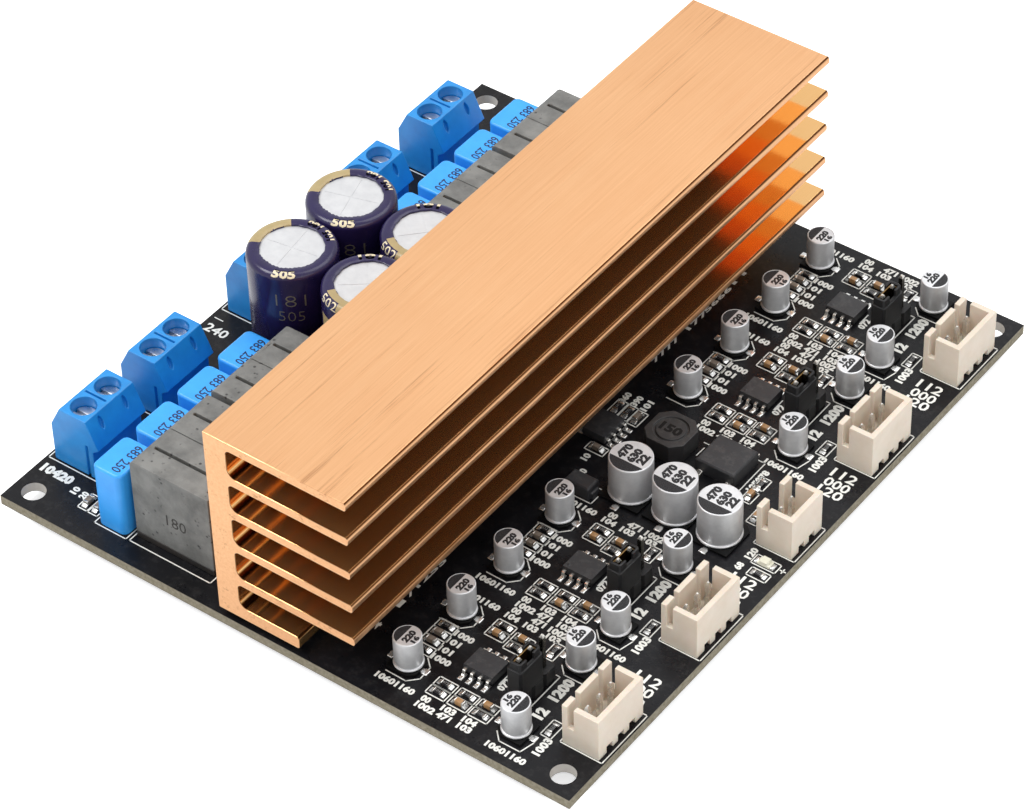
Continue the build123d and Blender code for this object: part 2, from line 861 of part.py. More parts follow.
def save_power_side():
    save("heatsink", [make_heatsink().moved(on_board(heatsink_x, board_length / 2))])
    save("heatsink_screws", spread(make_heatsink_screw(), [(heatsink_screw_x, y) for y in heatsink_screw_y]))
    chips = [(power_chip_x, y) for y in power_chip_y]
    save("power_chips", spread(make_power_chip(), chips))
    save("heat_pads", spread(make_heat_pad(), chips))
    core = make_core()
    for number, y in enumerate(inductor_y, 1):
        save(f"inductor_core_{number}", [half.moved(on_board(inductor_x, y)) for half in core])
    save("inductor_windings", spread(make_coil(), coil_places()))
    save("inductor_bases", spread(make_inductor_base(), [(inductor_x, y) for y in inductor_y]))
    save("film_capacitors", spread(make_film_capacitor(), film_places()))
    save("bulk_capacitors", spread(make_bulk_capacitor(), bulk_places()))


def save_terminals():
    housings = spread(make_terminal_housing(), [(terminal_x, y) for y in terminal_y])
    for number, housing in enumerate(housings, 1):
        save(f"terminal_housing_{number}", [housing])
    for number, screw in enumerate(spread(make_terminal_screw(), pole_places()), 1):
        save(f"terminal_screw_{number}", [screw])
    for number, clamp in enumerate(spread(make_terminal_clamp(), pole_places()), 1):
        save(f"terminal_clamp_{number}", [clamp])
    save("terminal_contacts", spread(make_terminal_contact(), pole_places()))


def save_input_side():
    headers = []
    for y, count in zip(header_y, header_pin_counts):
        headers.append(make_header_housing(count).moved(on_board(header_face_x, y)))
    save("input_headers", headers)
    save("input_pins", spread(lead(square_pin, header_pin_top), header_pin_places()))
    save("selector_bases", spread(make_selector_base(), [(selector_x, y) for y in channel_y]))
    save("selector_pins", spread(lead(square_pin, selector_pin_top), selector_pin_places()))
    for number, cap in enumerate(spread(make_jumper_cap(), cap_places()), 1):
        save(f"jumper_cap_{number}", [cap])
    for number, contact in enumerate(spread(make_jumper_contact(), cap_places()), 1):
        save(f"jumper_contact_{number}", [contact])
    chips = [(amplifier_chip_x, y + amplifier_chip_offset) for y in channel_y]
    chips.append(supply_side(*controller_chip_place, 90))
    save("eight_lead_chips", spread(make_eight_lead_chip(), chips))
    save("small_capacitors", spread(make_can(small_can_radius, small_can_height), small_can_places()))
    large = [supply_side(*place, -90) for place in large_can_places]
    save("large_capacitors", spread(make_can(large_can_radius, large_can_height), large))
    save("power_inductor", spread(make_power_inductor(), [supply_side(*power_inductor_place)]))
    save("regulator", spread(make_regulator(), [supply_side(*regulator_place)]))
    save("diode", spread(make_diode(), [supply_side(*diode_place)]))
    save("status_led", spread(make_led(), [supply_side(*led_place)]))
    resistors, capacitors = chip_places()
    save("chip_resistors", spread(block(chip_part_length, chip_part_width, resistor_height), resistors))
    save("chip_capacitors", spread(block(chip_part_length, chip_part_width, capacitor_height), capacitors))


os.makedirs("parts", exist_ok=True)
save("pcb", [make_board()])
save_power_side()
save_terminals()
save_input_side()
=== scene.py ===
import bmesh
import bpy
import math
from mathutils import Matrix, Vector


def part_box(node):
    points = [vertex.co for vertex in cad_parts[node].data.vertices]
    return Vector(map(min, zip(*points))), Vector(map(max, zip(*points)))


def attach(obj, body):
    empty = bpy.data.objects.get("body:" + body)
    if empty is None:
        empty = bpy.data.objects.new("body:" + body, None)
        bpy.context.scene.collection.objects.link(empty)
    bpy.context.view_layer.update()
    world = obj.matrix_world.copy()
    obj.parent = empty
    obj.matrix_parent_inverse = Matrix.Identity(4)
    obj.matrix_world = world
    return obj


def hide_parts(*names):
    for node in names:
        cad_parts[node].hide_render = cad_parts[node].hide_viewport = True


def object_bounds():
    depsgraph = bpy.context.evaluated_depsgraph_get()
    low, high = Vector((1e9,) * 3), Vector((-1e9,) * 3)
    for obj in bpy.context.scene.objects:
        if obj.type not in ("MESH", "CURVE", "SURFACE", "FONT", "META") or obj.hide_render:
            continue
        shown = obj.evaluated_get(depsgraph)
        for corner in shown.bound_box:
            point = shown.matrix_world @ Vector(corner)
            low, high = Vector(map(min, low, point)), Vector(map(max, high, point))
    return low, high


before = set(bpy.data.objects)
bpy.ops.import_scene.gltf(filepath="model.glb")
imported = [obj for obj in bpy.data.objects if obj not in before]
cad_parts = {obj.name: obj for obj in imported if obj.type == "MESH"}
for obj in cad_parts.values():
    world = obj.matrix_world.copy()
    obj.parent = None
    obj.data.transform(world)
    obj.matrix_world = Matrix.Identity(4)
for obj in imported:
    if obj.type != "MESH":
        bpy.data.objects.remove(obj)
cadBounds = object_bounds()

mm = 0.001
boardLow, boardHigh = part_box("pcb")


def spot(x, y, z=0.0):
    # Millimetres from the board's corner beside the terminals, and above its top face
    return Vector((boardLow.x + x * mm, boardLow.y + y * mm, boardHigh.z + z * mm))


def paint(red, green, blue):
    # A colour as the screen shows it, made linear
    parts = [value / 255 for value in (red, green, blue)]
    return tuple(((part + 0.055) / 1.055) ** 2.4 if part > 0.04 else part / 12.92 for part in parts) + (1.0,)


def placed(point, turn=0.0):
    return Matrix.Translation(point) @ Matrix.Rotation(math.radians(turn), 4, "Z")


# Shader helpers
def addNode(tree, kind, inputs=None, **settings):
    # The settings come first, because they change which inputs a node has
    node = tree.nodes.new("ShaderNode" + kind)
    for key, value in settings.items():
        setattr(node, key, value)
    for label, value in (inputs or {}).items():
        if isinstance(value, bpy.types.NodeSocket):
            tree.links.new(value, node.inputs[label])
        else:
            node.inputs[label].default_value = value
    return node.outputs


def calculate(tree, operation, first, second=0.0, clamp=False):
    return addNode(tree, "Math", {0: first, 1: second}, operation=operation, use_clamp=clamp)[0]


def mixColours(tree, factor, first, second):
    return addNode(tree, "Mix", {0: factor, 6: first, 7: second}, data_type="RGBA")[2]


def rescale(tree, value, low, high, newLow=0.0, newHigh=1.0):
    levels = {"Value": value, "From Min": low, "From Max": high, "To Min": newLow, "To Max": newHigh}
    return addNode(tree, "MapRange", levels)[0]


def objectPlace(tree):
    return addNode(tree, "TexCoord")["Object"]


def facingAlong(tree, axis):
    return addNode(tree, "SeparateXYZ", {0: addNode(tree, "NewGeometry")["Normal"]})[axis]


def addNoise(tree, where, scale, detail, roughness):
    inputs = {"Vector": where, "Scale": scale, "Detail": detail, "Roughness": roughness}
    return addNode(tree, "TexNoise", inputs)["Fac"]


def addBump(tree, height, depth):
    return addNode(tree, "Bump", {"Height": height, "Distance": depth, "Strength": 1.0})["Normal"]


def useGroup(tree, group, inputs):
    return addNode(tree, "Group", inputs, node_tree=group)


def startGroup(name, inputs, outputs):
    tree = bpy.data.node_groups.new(name, "ShaderNodeTree")
    for label, kind, value in inputs:
        socket = tree.interface.new_socket(label, in_out="INPUT", socket_type="NodeSocket" + kind)
        socket.default_value = value
    for label, kind in outputs:
        tree.interface.new_socket(label, in_out="OUTPUT", socket_type="NodeSocket" + kind)
    return tree, tree.nodes.new("NodeGroupInput").outputs, tree.nodes.new("NodeGroupOutput").inputs


def makeToneDrift():
    # A colour that wanders softly towards another over the surface
    colours = (("Colour", "Color", (0.5, 0.5, 0.5, 1)), ("Other", "Color", (0.4, 0.4, 0.4, 1)))
    levels = (("Scale", "Float", 300.0), ("Amount", "Float", 0.5))
    tree, given, result = startGroup("toneDrift", colours + levels, (("Colour", "Color"),))
    noise = addNoise(tree, objectPlace(tree), given["Scale"], 5.0, 0.6)
    mask = rescale(tree, noise, 0.35, 0.68, 0.0, given["Amount"])
    tree.links.new(mixColours(tree, mask, given["Colour"], given["Other"]), result["Colour"])
    return tree


def makeHandledGloss():
    # Roughness with faint smudges and finer speckle
    levels = (("Roughness", "Float", 0.4), ("Spread", "Float", 0.1), ("Scale", "Float", 200.0))
    tree, given, result = startGroup("handledGloss", levels, (("Roughness", "Float"),))
    noise = addNoise(tree, objectPlace(tree), given["Scale"], 6.0, 0.7)
    change = calculate(tree, "MULTIPLY", rescale(tree, noise, 0.3, 0.7, -1.0, 1.0), given["Spread"])
    tree.links.new(calculate(tree, "ADD", given["Roughness"], change, clamp=True), result["Roughness"])
    return tree


def makeSurfaceGrain():
    # Fine moulded, cast or sintered texture, as a normal
    levels = (("Scale", "Float", 3000.0), ("Depth", "Float", 0.00001), ("Pits", "Float", 0.0))
    tree, given, result = startGroup("surfaceGrain", levels, (("Normal", "Vector"),))
    where = objectPlace(tree)
    noise = addNoise(tree, where, given["Scale"], 3.0, 0.6)
    cellScale = calculate(tree, "MULTIPLY", given["Scale"], 0.3)
    cells = addNode(tree, "TexVoronoi", {"Vector": where, "Scale": cellScale})["Distance"]
    dip = calculate(tree, "MULTIPLY", rescale(tree, cells, 0.0, 0.22, -1.0, 0.0), given["Pits"])
    tree.links.new(addBump(tree, calculate(tree, "ADD", noise, dip), given["Depth"]), result["Normal"])
    return tree


def makeBrushedLines():
    # Long fine strokes along one axis: two masks between 0 and 1, and a normal
    levels = (("Stretch", "Vector", (1.0, 1.0, 1.0)), ("Depth", "Float", 0.00001))
    made = (("Tone", "Float"), ("Streak", "Float"), ("Normal", "Vector"))
    tree, given, result = startGroup("brushedLines", levels, made)
    drawn = addNode(tree, "VectorMath", {0: objectPlace(tree), 1: given["Stretch"]}, operation="MULTIPLY")[0]
    fine = addNoise(tree, drawn, 1.0, 6.0, 0.75)
    broad = addNoise(tree, drawn, 0.22, 3.0, 0.5)
    tree.links.new(rescale(tree, fine, 0.3, 0.7), result["Tone"])
    tree.links.new(rescale(tree, calculate(tree, "MULTIPLY", fine, broad), 0.33, 0.44), result["Streak"])
    tree.links.new(addBump(tree, fine, given["Depth"]), result["Normal"])
    return tree


def makeSettledDust():
    # A mask for pale dust that lies on what faces up
    levels = (("Amount", "Float", 0.2), ("Scale", "Float", 900.0))
    tree, given, result = startGroup("settledDust", levels, (("Mask", "Float"),))
    up = rescale(tree, facingAlong(tree, "Z"), 0.3, 1.0)
    spots = rescale(tree, addNoise(tree, objectPlace(tree), given["Scale"], 4.0, 0.7), 0.5, 0.75)
    lying = calculate(tree, "MULTIPLY", up, spots)
    tree.links.new(calculate(tree, "MULTIPLY", lying, given["Amount"], clamp=True), result["Mask"])
    return tree


toneDrift = makeToneDrift()
handledGloss = makeHandledGloss()
surfaceGrain = makeSurfaceGrain()
brushedLines = makeBrushedLines()
settledDust = makeSettledDust()


# What a finish has where its look says nothing else
plainLook = {
    "driftScale": 350.0,
    "drift": 0.6,
    "dust": 0.0,
    "roughness": 0.4,
    "spread": 0.08,
    "grain": 3000.0,
    "depth": 0.004,
    "pits": 0.0,
}
otherShade = 0.82
dustColour = paint(150, 148, 145)


def startMaterial(name, constants):
    # A new material with its tree and its shader's inputs, some of which are set
    material = bpy.data.materials.new(name)
    material.use_nodes = True
    sockets = material.node_tree.nodes["Principled BSDF"].inputs
    for label, value in constants.items():
        sockets[label].default_value = value
    return material, material.node_tree, sockets


def makeFinish(name, look, constants=None):
    # The look holds the colour and what it drifts to, the gloss, the grain and the dust
    material, tree, sockets = startMaterial(name, constants or {})
    look = dict(plainLook, **look)
    other = look.get("other", [channel * otherShade for channel in look["colour"]])
    drift = {"Colour": paint(*look["colour"]), "Other": paint(*other), "Scale": look["driftScale"]}
    shown = useGroup(tree, toneDrift, dict(drift, Amount=look["drift"]))["Colour"]
    if look["dust"]:
        mask = useGroup(tree, settledDust, {"Amount": look["dust"]})["Mask"]
        shown = mixColours(tree, mask, shown, dustColour)
    gloss = useGroup(tree, handledGloss, {"Roughness": look["roughness"], "Spread": look["spread"]})
    grain = {"Scale": look["grain"], "Depth": look["depth"] * mm, "Pits": look["pits"]}
    tree.links.new(shown, sockets["Base Color"])
    tree.links.new(gloss["Roughness"], sockets["Roughness"])
    tree.links.new(useGroup(tree, surfaceGrain, grain)["Normal"], sockets["Normal"])
    return material


def dress(node, material):
    # For a CAD node that is shown as it is
    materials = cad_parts[node].data.materials
    materials.clear()
    materials.append(material)


# Modelling helpers
def addBox(bm, low, high, edge=0.0, segments=2):
    # A box between two corners in metres, with its edges rounded
    verts = bmesh.ops.create_cube(bm, size=1.0)["verts"]
    low = Vector(low)
    high = Vector(high)
    shape = Matrix.Translation((low + high) / 2) @ Matrix.Diagonal((*(high - low), 1))
    bmesh.ops.transform(bm, matrix=shape, verts=verts)
    if edge:
        edges = list({line for vert in verts for line in vert.link_edges})
        roundEdges(bm, edges, edge, segments)


def roundEdges(bm, edges, width, segments=2, clamp=True):
    shape = {"offset_type": "OFFSET", "profile": 0.5, "affect": "EDGES", "material": -1}
    return bmesh.ops.bevel(bm, geom=edges, offset=width, segments=segments, clamp_overlap=clamp, **shape)


def edgesAlong(bm, axis, least):
    # The edges that reach further than this along an axis
    return [edge for edge in bm.edges if abs(edge.verts[0].co[axis] - edge.verts[1].co[axis]) > least]


def sharpEdges(bm, angle):
    return [edge for edge in bm.edges if edge.calc_face_angle(0) > angle]


def cutAcross(bm, place, normal, **settings):
    geometry = bm.verts[:] + bm.edges[:] + bm.faces[:]
    bmesh.ops.bisect_plane(bm, geom=geometry, plane_co=place, plane_no=normal, **settings)


def moveGrown(bm, grown, step):
    # Moves the vertices that an extrusion has made
    verts = [item for item in grown["geom"] if isinstance(item, bmesh.types.BMVert)]
    bmesh.ops.translate(bm, verts=verts, vec=step)


def addLeads(bm, middle, look, axis, bottom, top, edge=0.0):
    # Two square leads side by side along x or y
    half = look["leadSize"] / 2 * mm
    for side in (-1, 1):
        place = Vector((middle.x, middle.y, 0))
        place[axis] += side * look["leadPitch"] / 2 * mm
        addBox(bm, place - Vector((half, half, -bottom)), place + Vector((half, half, top)), edge * half)


def addSpin(bm, profile, steps=48):
    # Turns a profile of radius and height in millimetres round the upright axis
    verts = [bm.verts.new((radius * mm, 0, height * mm)) for radius, height in profile]
    path = verts + [bm.edges.new(pair) for pair in zip(verts, verts[1:])]
    circle = {"cent": (0, 0, 0), "axis": (0, 0, 1), "angle": math.tau, "steps": steps}
    bmesh.ops.spin(bm, geom=path, use_merge=True, **circle)
    bmesh.ops.remove_doubles(bm, verts=bm.verts, dist=0.000002)
    bmesh.ops.recalc_face_normals(bm, faces=bm.faces)


def arcPoints(centre, radius, start, end, steps):
    # Points on an arc of a profile, the angles in degrees
    angles = [math.radians(start + (end - start) * step / steps) for step in range(steps + 1)]
    return [(centre[0] + radius * math.cos(a), centre[1] + radius * math.sin(a)) for a in angles]


def asMesh(bm, name="part"):
    mesh = bpy.data.meshes.new(name)
    bm.to_mesh(mesh)
    bm.free()
    return mesh


def stamp(bm, mesh, shape):
    # Adds a copy of a small mesh
    copy = mesh.copy()
    copy.transform(shape)
    bm.from_mesh(copy)
    bpy.data.meshes.remove(copy)


def addPiece(name, bm, materials, body="board", replaced=(), crease=35.0, weighted=False):
    mesh = asMesh(bm, name)
    for material in materials:
        mesh.materials.append(material)
    mesh.shade_smooth()
    mesh.set_sharp_from_angle(angle=math.radians(crease))
    piece = bpy.data.objects.new(name, mesh)
    bpy.context.scene.collection.objects.link(piece)
    if weighted:
        piece.modifiers.new("evenShading", "WEIGHTED_NORMAL").keep_sharp = True
    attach(piece, body)
    if replaced:
        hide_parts(*replaced)


def meshOf(node):
    # A CAD node's own mesh, with its doubled vertices made one
    bm = bmesh.new()
    bm.from_mesh(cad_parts[node].data)
    bmesh.ops.remove_doubles(bm, verts=bm.verts, dist=0.0000005)
    return bm


def solidsOf(node):
    # The low and high corner of each separate solid of a CAD node
    bm = meshOf(node)
    waiting = set(bm.verts)
    found = []
    while waiting:
        group = [waiting.pop()]
        for vert in group:
            near = {edge.other_vert(vert) for edge in vert.link_edges} & waiting
            waiting -= near
            group.extend(near)
        columns = [[vert.co[axis] for vert in group] for axis in range(3)]
        found.append([Vector([pick(column) for column in columns]) for pick in (min, max)])
    bm.free()
    return sorted(found, key=lambda pair: (round(pair[0].y, 5), round(pair[0].x, 5)))


def middleOf(pair):
    # The middle of a solid, on the board's top face
    middle = (pair[0] + pair[1]) / 2
    return Vector((middle.x, middle.y, boardHigh.z))


def roundedCopy(
    node, name, material, edge, segments=2, body="board", other=None, pick=None, softer=None,
    softEdge=0.0,
):
    # A CAD node's own shape with its edges rounded, some of them more, and another material on picked faces
    bm = meshOf(node)
    bmesh.ops.dissolve_limit(bm, angle_limit=math.radians(1.0), verts=bm.verts, edges=bm.edges)
    for face in bm.faces:
        face.material_index = 1 if pick and pick(face) else 0
    edges = sharpEdges(bm, math.radians(30.0))
    if softer:
        soft = [line for line in edges if softer(line)]
        edges = [line for line in edges if line not in soft]
        roundEdges(bm, soft, softEdge * mm, 5, clamp=False)
        edges = [line for line in edges if line.is_valid]
    roundEdges(bm, edges, edge * mm, segments, clamp=False)
    addPiece(name, bm, [material, other] if other else [material], body, [node], weighted=True)


numberMeshes = {}
# How far a number's thickness is sunk into its surface
inkDepth = 0.012 * mm


def numberMesh(text, height, thickness=0.02, bold=0.0, width=None):
    # Plain numbers in millimetres, centred, standing up from z = 0
    key = (text, height, thickness, bold, width)
    if key not in numberMeshes:
        curve = bpy.data.curves.new("number", "FONT")
        curve.body = text
        curve.resolution_u = 2
        curve.offset = bold
        curve.extrude = 0.5
        curve.align_x = "CENTER"
        curve.align_y = "CENTER"
        holder = bpy.data.objects.new("number", curve)
        mesh = bpy.data.meshes.new_from_object(holder)
        bpy.data.objects.remove(holder)
        bpy.data.curves.remove(curve)
        rows = [vert.co.y for vert in mesh.vertices]
        columns = [vert.co.x for vert in mesh.vertices]
        size = height * mm / (max(rows) - min(rows))
        wide = width * mm / (max(columns) - min(columns)) if width else size
        lift = Matrix.Translation((-(max(columns) + min(columns)) / 2, -(max(rows) + min(rows)) / 2, 0.5))
        mesh.transform(Matrix.Diagonal((wide, size, thickness * mm, 1)) @ lift)
        numberMeshes[key] = mesh
    return numberMeshes[key]


print("stage: helpers and shader groups ready")


# Studio
studio = {
    "floorSize": 6.0,
    "floorGap": 0.02,
    "floorColour": (236, 236, 236),
    "floorGlow": 0.66,
    "floorGlowInMetal": 0.08,
    "skyLevel": 0.62,
    "lamps": {
        "keyLamp": {"place": (-420, -330, 760), "size": 420, "power": 5.2},
        "fillLamp": {"place": (640, -260, 420), "size": 500, "power": 1.6},
        "topLamp": {"place": (60, 420, 820), "size": 600, "power": 3.0},
    },
}

photoCamera = {
    "place": (254.44, -331.97, 390.99),
    "forward": (-0.44749717, 0.58011747, -0.68059533),
    "up": (-0.39174647, 0.55698134, 0.7323295),
    "lens": 144.29,
    "sensor": 36.0,
}


def seenRays(tree):
    # One for camera, glossy and transmission rays
    path = addNode(tree, "LightPath")
    total = calculate(tree, "ADD", path["Is Camera Ray"], path["Is Glossy Ray"])
    return calculate(tree, "ADD", total, path["Is Transmission Ray"], clamp=True)


def makeSky():
    world = bpy.data.worlds.new("studioSky")
    world.use_nodes = True
    tree = world.node_tree
    sockets = tree.nodes["Background"].inputs
    sockets["Color"].default_value = (1, 1, 1, 1)
    tree.links.new(rescale(tree, seenRays(tree), 0.0, 1.0, studio["skyLevel"], 1.0), sockets["Strength"])
    bpy.context.scene.world = world


def makeFloor():
    # Pale, with a glow that makes it white to the camera and faint in reflections
    bm = bmesh.new()
    bmesh.ops.create_grid(bm, x_segments=1, y_segments=1, size=studio["floorSize"] / 2)
    height = cadBounds[0].z - studio["floorGap"] * mm
    bmesh.ops.translate(bm, verts=bm.verts, vec=(0, 0, height))
    floor = bpy.data.objects.new("studioFloor", asMesh(bm, "studioFloor"))
    bpy.context.scene.collection.objects.link(floor)
    constants = {
        "Base Color": paint(*studio["floorColour"]),
        "Roughness": 0.9,
        "Specular IOR Level": 0.0,
        "Emission Color": (1, 1, 1, 1),
    }
    material, tree, sockets = startMaterial("paleFloor", constants)
    path = addNode(tree, "LightPath")
    mirrored = calculate(tree, "ADD", path["Is Glossy Ray"], path["Is Transmission Ray"])
    inMetal = calculate(tree, "MULTIPLY", mirrored, studio["floorGlowInMetal"])
    direct = calculate(tree, "MULTIPLY", path["Is Camera Ray"], studio["floorGlow"])
    tree.links.new(calculate(tree, "ADD", direct, inMetal), sockets["Emission Strength"])
    floor.data.materials.append(material)


def makeLamps():
    for name, lamp in studio["lamps"].items():
        light = bpy.data.lights.new(name, "AREA")
        light.shape = "SQUARE"
        light.size = lamp["size"] * mm
        light.energy = lamp["power"]
        holder = bpy.data.objects.new(name, light)
        holder.location = Vector(lamp["place"]) * mm
        holder.rotation_euler = (-holder.location).to_track_quat("-Z", "Y").to_euler()
        bpy.context.scene.collection.objects.link(holder)


def makeCamera():
    camera = bpy.data.objects.new("photoCamera", bpy.data.cameras.new("photoCamera"))
    forward = Vector(photoCamera["forward"]).normalized()
    up = Vector(photoCamera["up"]).normalized()
    turn = Matrix((forward.cross(up), up, -forward)).transposed()
    camera.matrix_world = Matrix.Translation(Vector(photoCamera["place"]) * mm) @ turn.to_4x4()
    camera.data.lens = photoCamera["lens"]
    camera.data.sensor_width = photoCamera["sensor"]
    camera.data.clip_start = 0.01
    bpy.context.scene.collection.objects.link(camera)
    bpy.context.scene.camera = camera


bpy.context.scene.view_settings.view_transform = "Standard"
makeSky()
makeFloor()
makeLamps()
makeCamera()
print("stage: studio ready")


# Board
boardLook = {
    "mask": {
        "colour": (15, 15, 18), "other": (25, 25, 29), "driftScale": 38.0, "drift": 0.7, "dust": 0.05,
        "roughness": 0.3, "spread": 0.06, "grain": 1500.0, "depth": 0.002,
    },
    "coreColour": (146, 140, 124),
    "coreOther": (112, 104, 84),
    "weaveScale": 1800.0,
    "holeColour": (196, 192, 186),
    "bareRoughness": 0.75,
    "wallDepth": 0.06,
    "rimDepth": 0.1,
}


def makeBoardFinish():
    # Dark mask on both faces, bare laminate on the outer edges, dull metal in the holes
    material = makeFinish("boardMask", boardLook["mask"], {"Specular IOR Level": 0.2})
    tree = material.node_tree
    sockets = tree.nodes["Principled BSDF"].inputs
    mask, gloss = [sockets[label].links[0].from_socket for label in ("Base Color", "Roughness")]
    where = addNode(tree, "SeparateXYZ", {0: objectPlace(tree)})
    middle = (boardLow + boardHigh) / 2
    half = (boardHigh - boardLow) / 2

    def beyond(axis, margin):
        # Whether a place is nearer than this to the board's two outer faces along an axis
        away = calculate(tree, "ABSOLUTE", calculate(tree, "SUBTRACT", where[axis], middle[axis]))
        return calculate(tree, "GREATER_THAN", away, half[axis] - margin * mm)

    face = beyond(2, boardLook["wallDepth"])
    rim = calculate(tree, "MAXIMUM", beyond(0, boardLook["rimDepth"]), beyond(1, boardLook["rimDepth"]))
    core, other, hole = [paint(*boardLook[key]) for key in ("coreColour", "coreOther", "holeColour")]
    weave = {"Colour": core, "Other": other, "Scale": boardLook["weaveScale"], "Amount": 0.9}
    wall = mixColours(tree, rim, hole, useGroup(tree, toneDrift, weave)["Colour"])
    tree.links.new(mixColours(tree, face, wall, mask), sockets["Base Color"])
    tree.links.new(rescale(tree, face, 0.0, 1.0, boardLook["bareRoughness"], gloss), sockets["Roughness"])
    return material


dress("pcb", makeBoardFinish())
print("stage: board ready")


# Heat sink
heatsinkLook = {
    "outer": {
        "light": (241, 191, 144), "deep": (206, 146, 98), "streak": (132, 78, 44), "roughness": 0.3,
        "lines": 0.5, "metallic": 1.0,
    },
    "slots": {
        "light": (244, 197, 136), "deep": (232, 168, 92), "streak": (150, 92, 44), "roughness": 0.08,
        "lines": 0.16, "metallic": 0.95,
    },
    "driftScale": 30.0,
    "drift": 0.2,
    # Painted shade along the edges of the fins' tips: its colour and strength
    "paintedTipShadeColour": (78, 38, 8),
    "paintedTipShadeStrength": 0.95,
    "stretch": (2600.0, 42.0, 2600.0),
    "lineDepth": 0.003,
    "edge": 0.1,
    "tipEdge": 0.24,
    "webThickness": 3.7,
    "screwEdge": 0.18,
    "screws": {
        "colour": (226, 227, 229), "other": (186, 188, 191), "driftScale": 900.0, "roughness": 0.3,
        "spread": 0.1, "grain": 5000.0, "depth": 0.003,
    },
    "pads": {"colour": (150, 154, 162), "roughness": 0.8, "grain": 2500.0, "depth": 0.01},
}
sinkLow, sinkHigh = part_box("heatsink")


def makeCopperTone(name, look):
    # Anodised aluminium, brushed along its length, with painted shade along the fins' tips
    material, tree, sockets = startMaterial(name, {"Metallic": look["metallic"]})
    depth = heatsinkLook["lineDepth"] * mm
    lines = useGroup(tree, brushedLines, {"Stretch": heatsinkLook["stretch"], "Depth": depth})
    light, deep, streak = [paint(*look[key]) for key in ("light", "deep", "streak")]
    drift = {"Scale": heatsinkLook["driftScale"], "Amount": heatsinkLook["drift"]}
    base = useGroup(tree, toneDrift, dict(drift, Colour=light, Other=deep))["Colour"]
    for label, colour in (("Tone", deep), ("Streak", streak)):
        base = mixColours(tree, calculate(tree, "MULTIPLY", lines[label], look["lines"]), base, colour)
    # Painted shade: the fins' tips are darker along both of their edges, where the surface turns from upright
    # to flat, standing in for the dark reflections there
    facing = facingAlong(tree, "X")
    rise = rescale(tree, facing, 0.2, 0.4, 0.0, heatsinkLook["paintedTipShadeStrength"])
    tips = calculate(tree, "MULTIPLY", rise, rescale(tree, facing, 0.9, 0.75))
    tree.links.new(mixColours(tree, tips, base, paint(*heatsinkLook["paintedTipShadeColour"])), sockets["Base Color"])
    spread = rescale(tree, lines["Tone"], 0.0, 1.0, look["roughness"] - 0.03, look["roughness"] + 0.06)
    tree.links.new(spread, sockets["Roughness"])
    tree.links.new(lines["Normal"], sockets["Normal"])
    return material


def insideSlot(face):
    # The walls of the slots, but not the outer faces, the ends and the fins' tips
    centre = face.calc_center_median()
    beyondWeb = centre.x > sinkLow.x + (heatsinkLook["webThickness"] - 0.1) * mm
    inside = centre.z < sinkHigh.z - 0.5 * mm and centre.x < sinkHigh.x - 0.5 * mm
    return beyondWeb and inside and abs(face.normal.y) < 0.5


def tipEdge(edge):
    # The two long edges of each fin's tip
    return all(vert.co.x > sinkHigh.x - 0.02 * mm for vert in edge.verts) and edge.calc_length() > 50 * mm


copperTone = makeCopperTone("copperTone", heatsinkLook["outer"])
copperSlots = makeCopperTone("copperSlots", heatsinkLook["slots"])
roundedCopy(
    "heatsink", "heatsinkFins", copperTone, heatsinkLook["edge"],
    other=copperSlots, pick=insideSlot, softer=tipEdge, softEdge=heatsinkLook["tipEdge"],
)
screwSteel = makeFinish("screwSteel", heatsinkLook["screws"], {"Metallic": 1.0})
roundedCopy("heatsink_screws", "heatsinkScrews", screwSteel, heatsinkLook["screwEdge"])
dress("heat_pads", makeFinish("siliconePad", heatsinkLook["pads"]))
print("stage: heat sink ready")


# Shared finishes of small parts
sharedLooks = {
    "tinned": {
        "colour": (234, 232, 226), "other": (190, 188, 182), "roughness": 0.24, "spread": 0.1,
        "driftScale": 1500.0,
    },
    "solder": {
        "colour": (236, 236, 234), "other": (176, 177, 179), "roughness": 0.2, "driftScale": 2500.0,
        "grain": 1200.0, "depth": 0.07,
    },
    "moulding": {
        "colour": (42, 42, 45), "other": (33, 33, 36), "roughness": 0.5, "grain": 5000.0, "depth": 0.01,
        "dust": 0.12,
    },
    "nylon": {
        "colour": (22, 22, 24), "other": (15, 15, 17), "roughness": 0.42, "grain": 2500.0, "depth": 0.006,
        "dust": 0.05,
    },
}
tinned = makeFinish("tinnedMetal", sharedLooks["tinned"], {"Metallic": 0.8})
solder = makeFinish("solder", sharedLooks["solder"], {"Metallic": 0.75})
blackMoulding = makeFinish("blackMoulding", sharedLooks["moulding"])
blackNylon = makeFinish("blackNylon", sharedLooks["nylon"], {"Specular IOR Level": 0.3})


# Screw terminals
terminalLook = {
    "plastic": {
        "colour": (32, 140, 213), "other": (22, 118, 192), "roughness": 0.34, "spread": 0.06, "grain": 1800.0,
        "depth": 0.006,
    },
    "edge": 0.14,
    "screwEdge": 0.1,
    "brass": {"colour": (214, 200, 150), "other": (180, 160, 110), "roughness": 0.3},
}


def makeTerminals():
    glow = {"Subsurface Weight": 0.04, "Subsurface Scale": 0.002}
    plastic = makeFinish("terminalBlue", terminalLook["plastic"], glow)
    for number in range(1, 6):
        node = f"terminal_housing_{number}"
        roundedCopy(node, f"terminalHousing{number}", plastic, terminalLook["edge"])
    for number in range(1, 11):
        body = f"terminal_screw_{number}"
        name = f"terminalScrew{number}"
        roundedCopy(body, name, screwSteel, terminalLook["screwEdge"], body=body)
        dress(f"terminal_clamp_{number}", tinned)
    dress("terminal_contacts", makeFinish("contactBrass", terminalLook["brass"], {"Metallic": 1.0}))


makeTerminals()
print("stage: terminals ready")


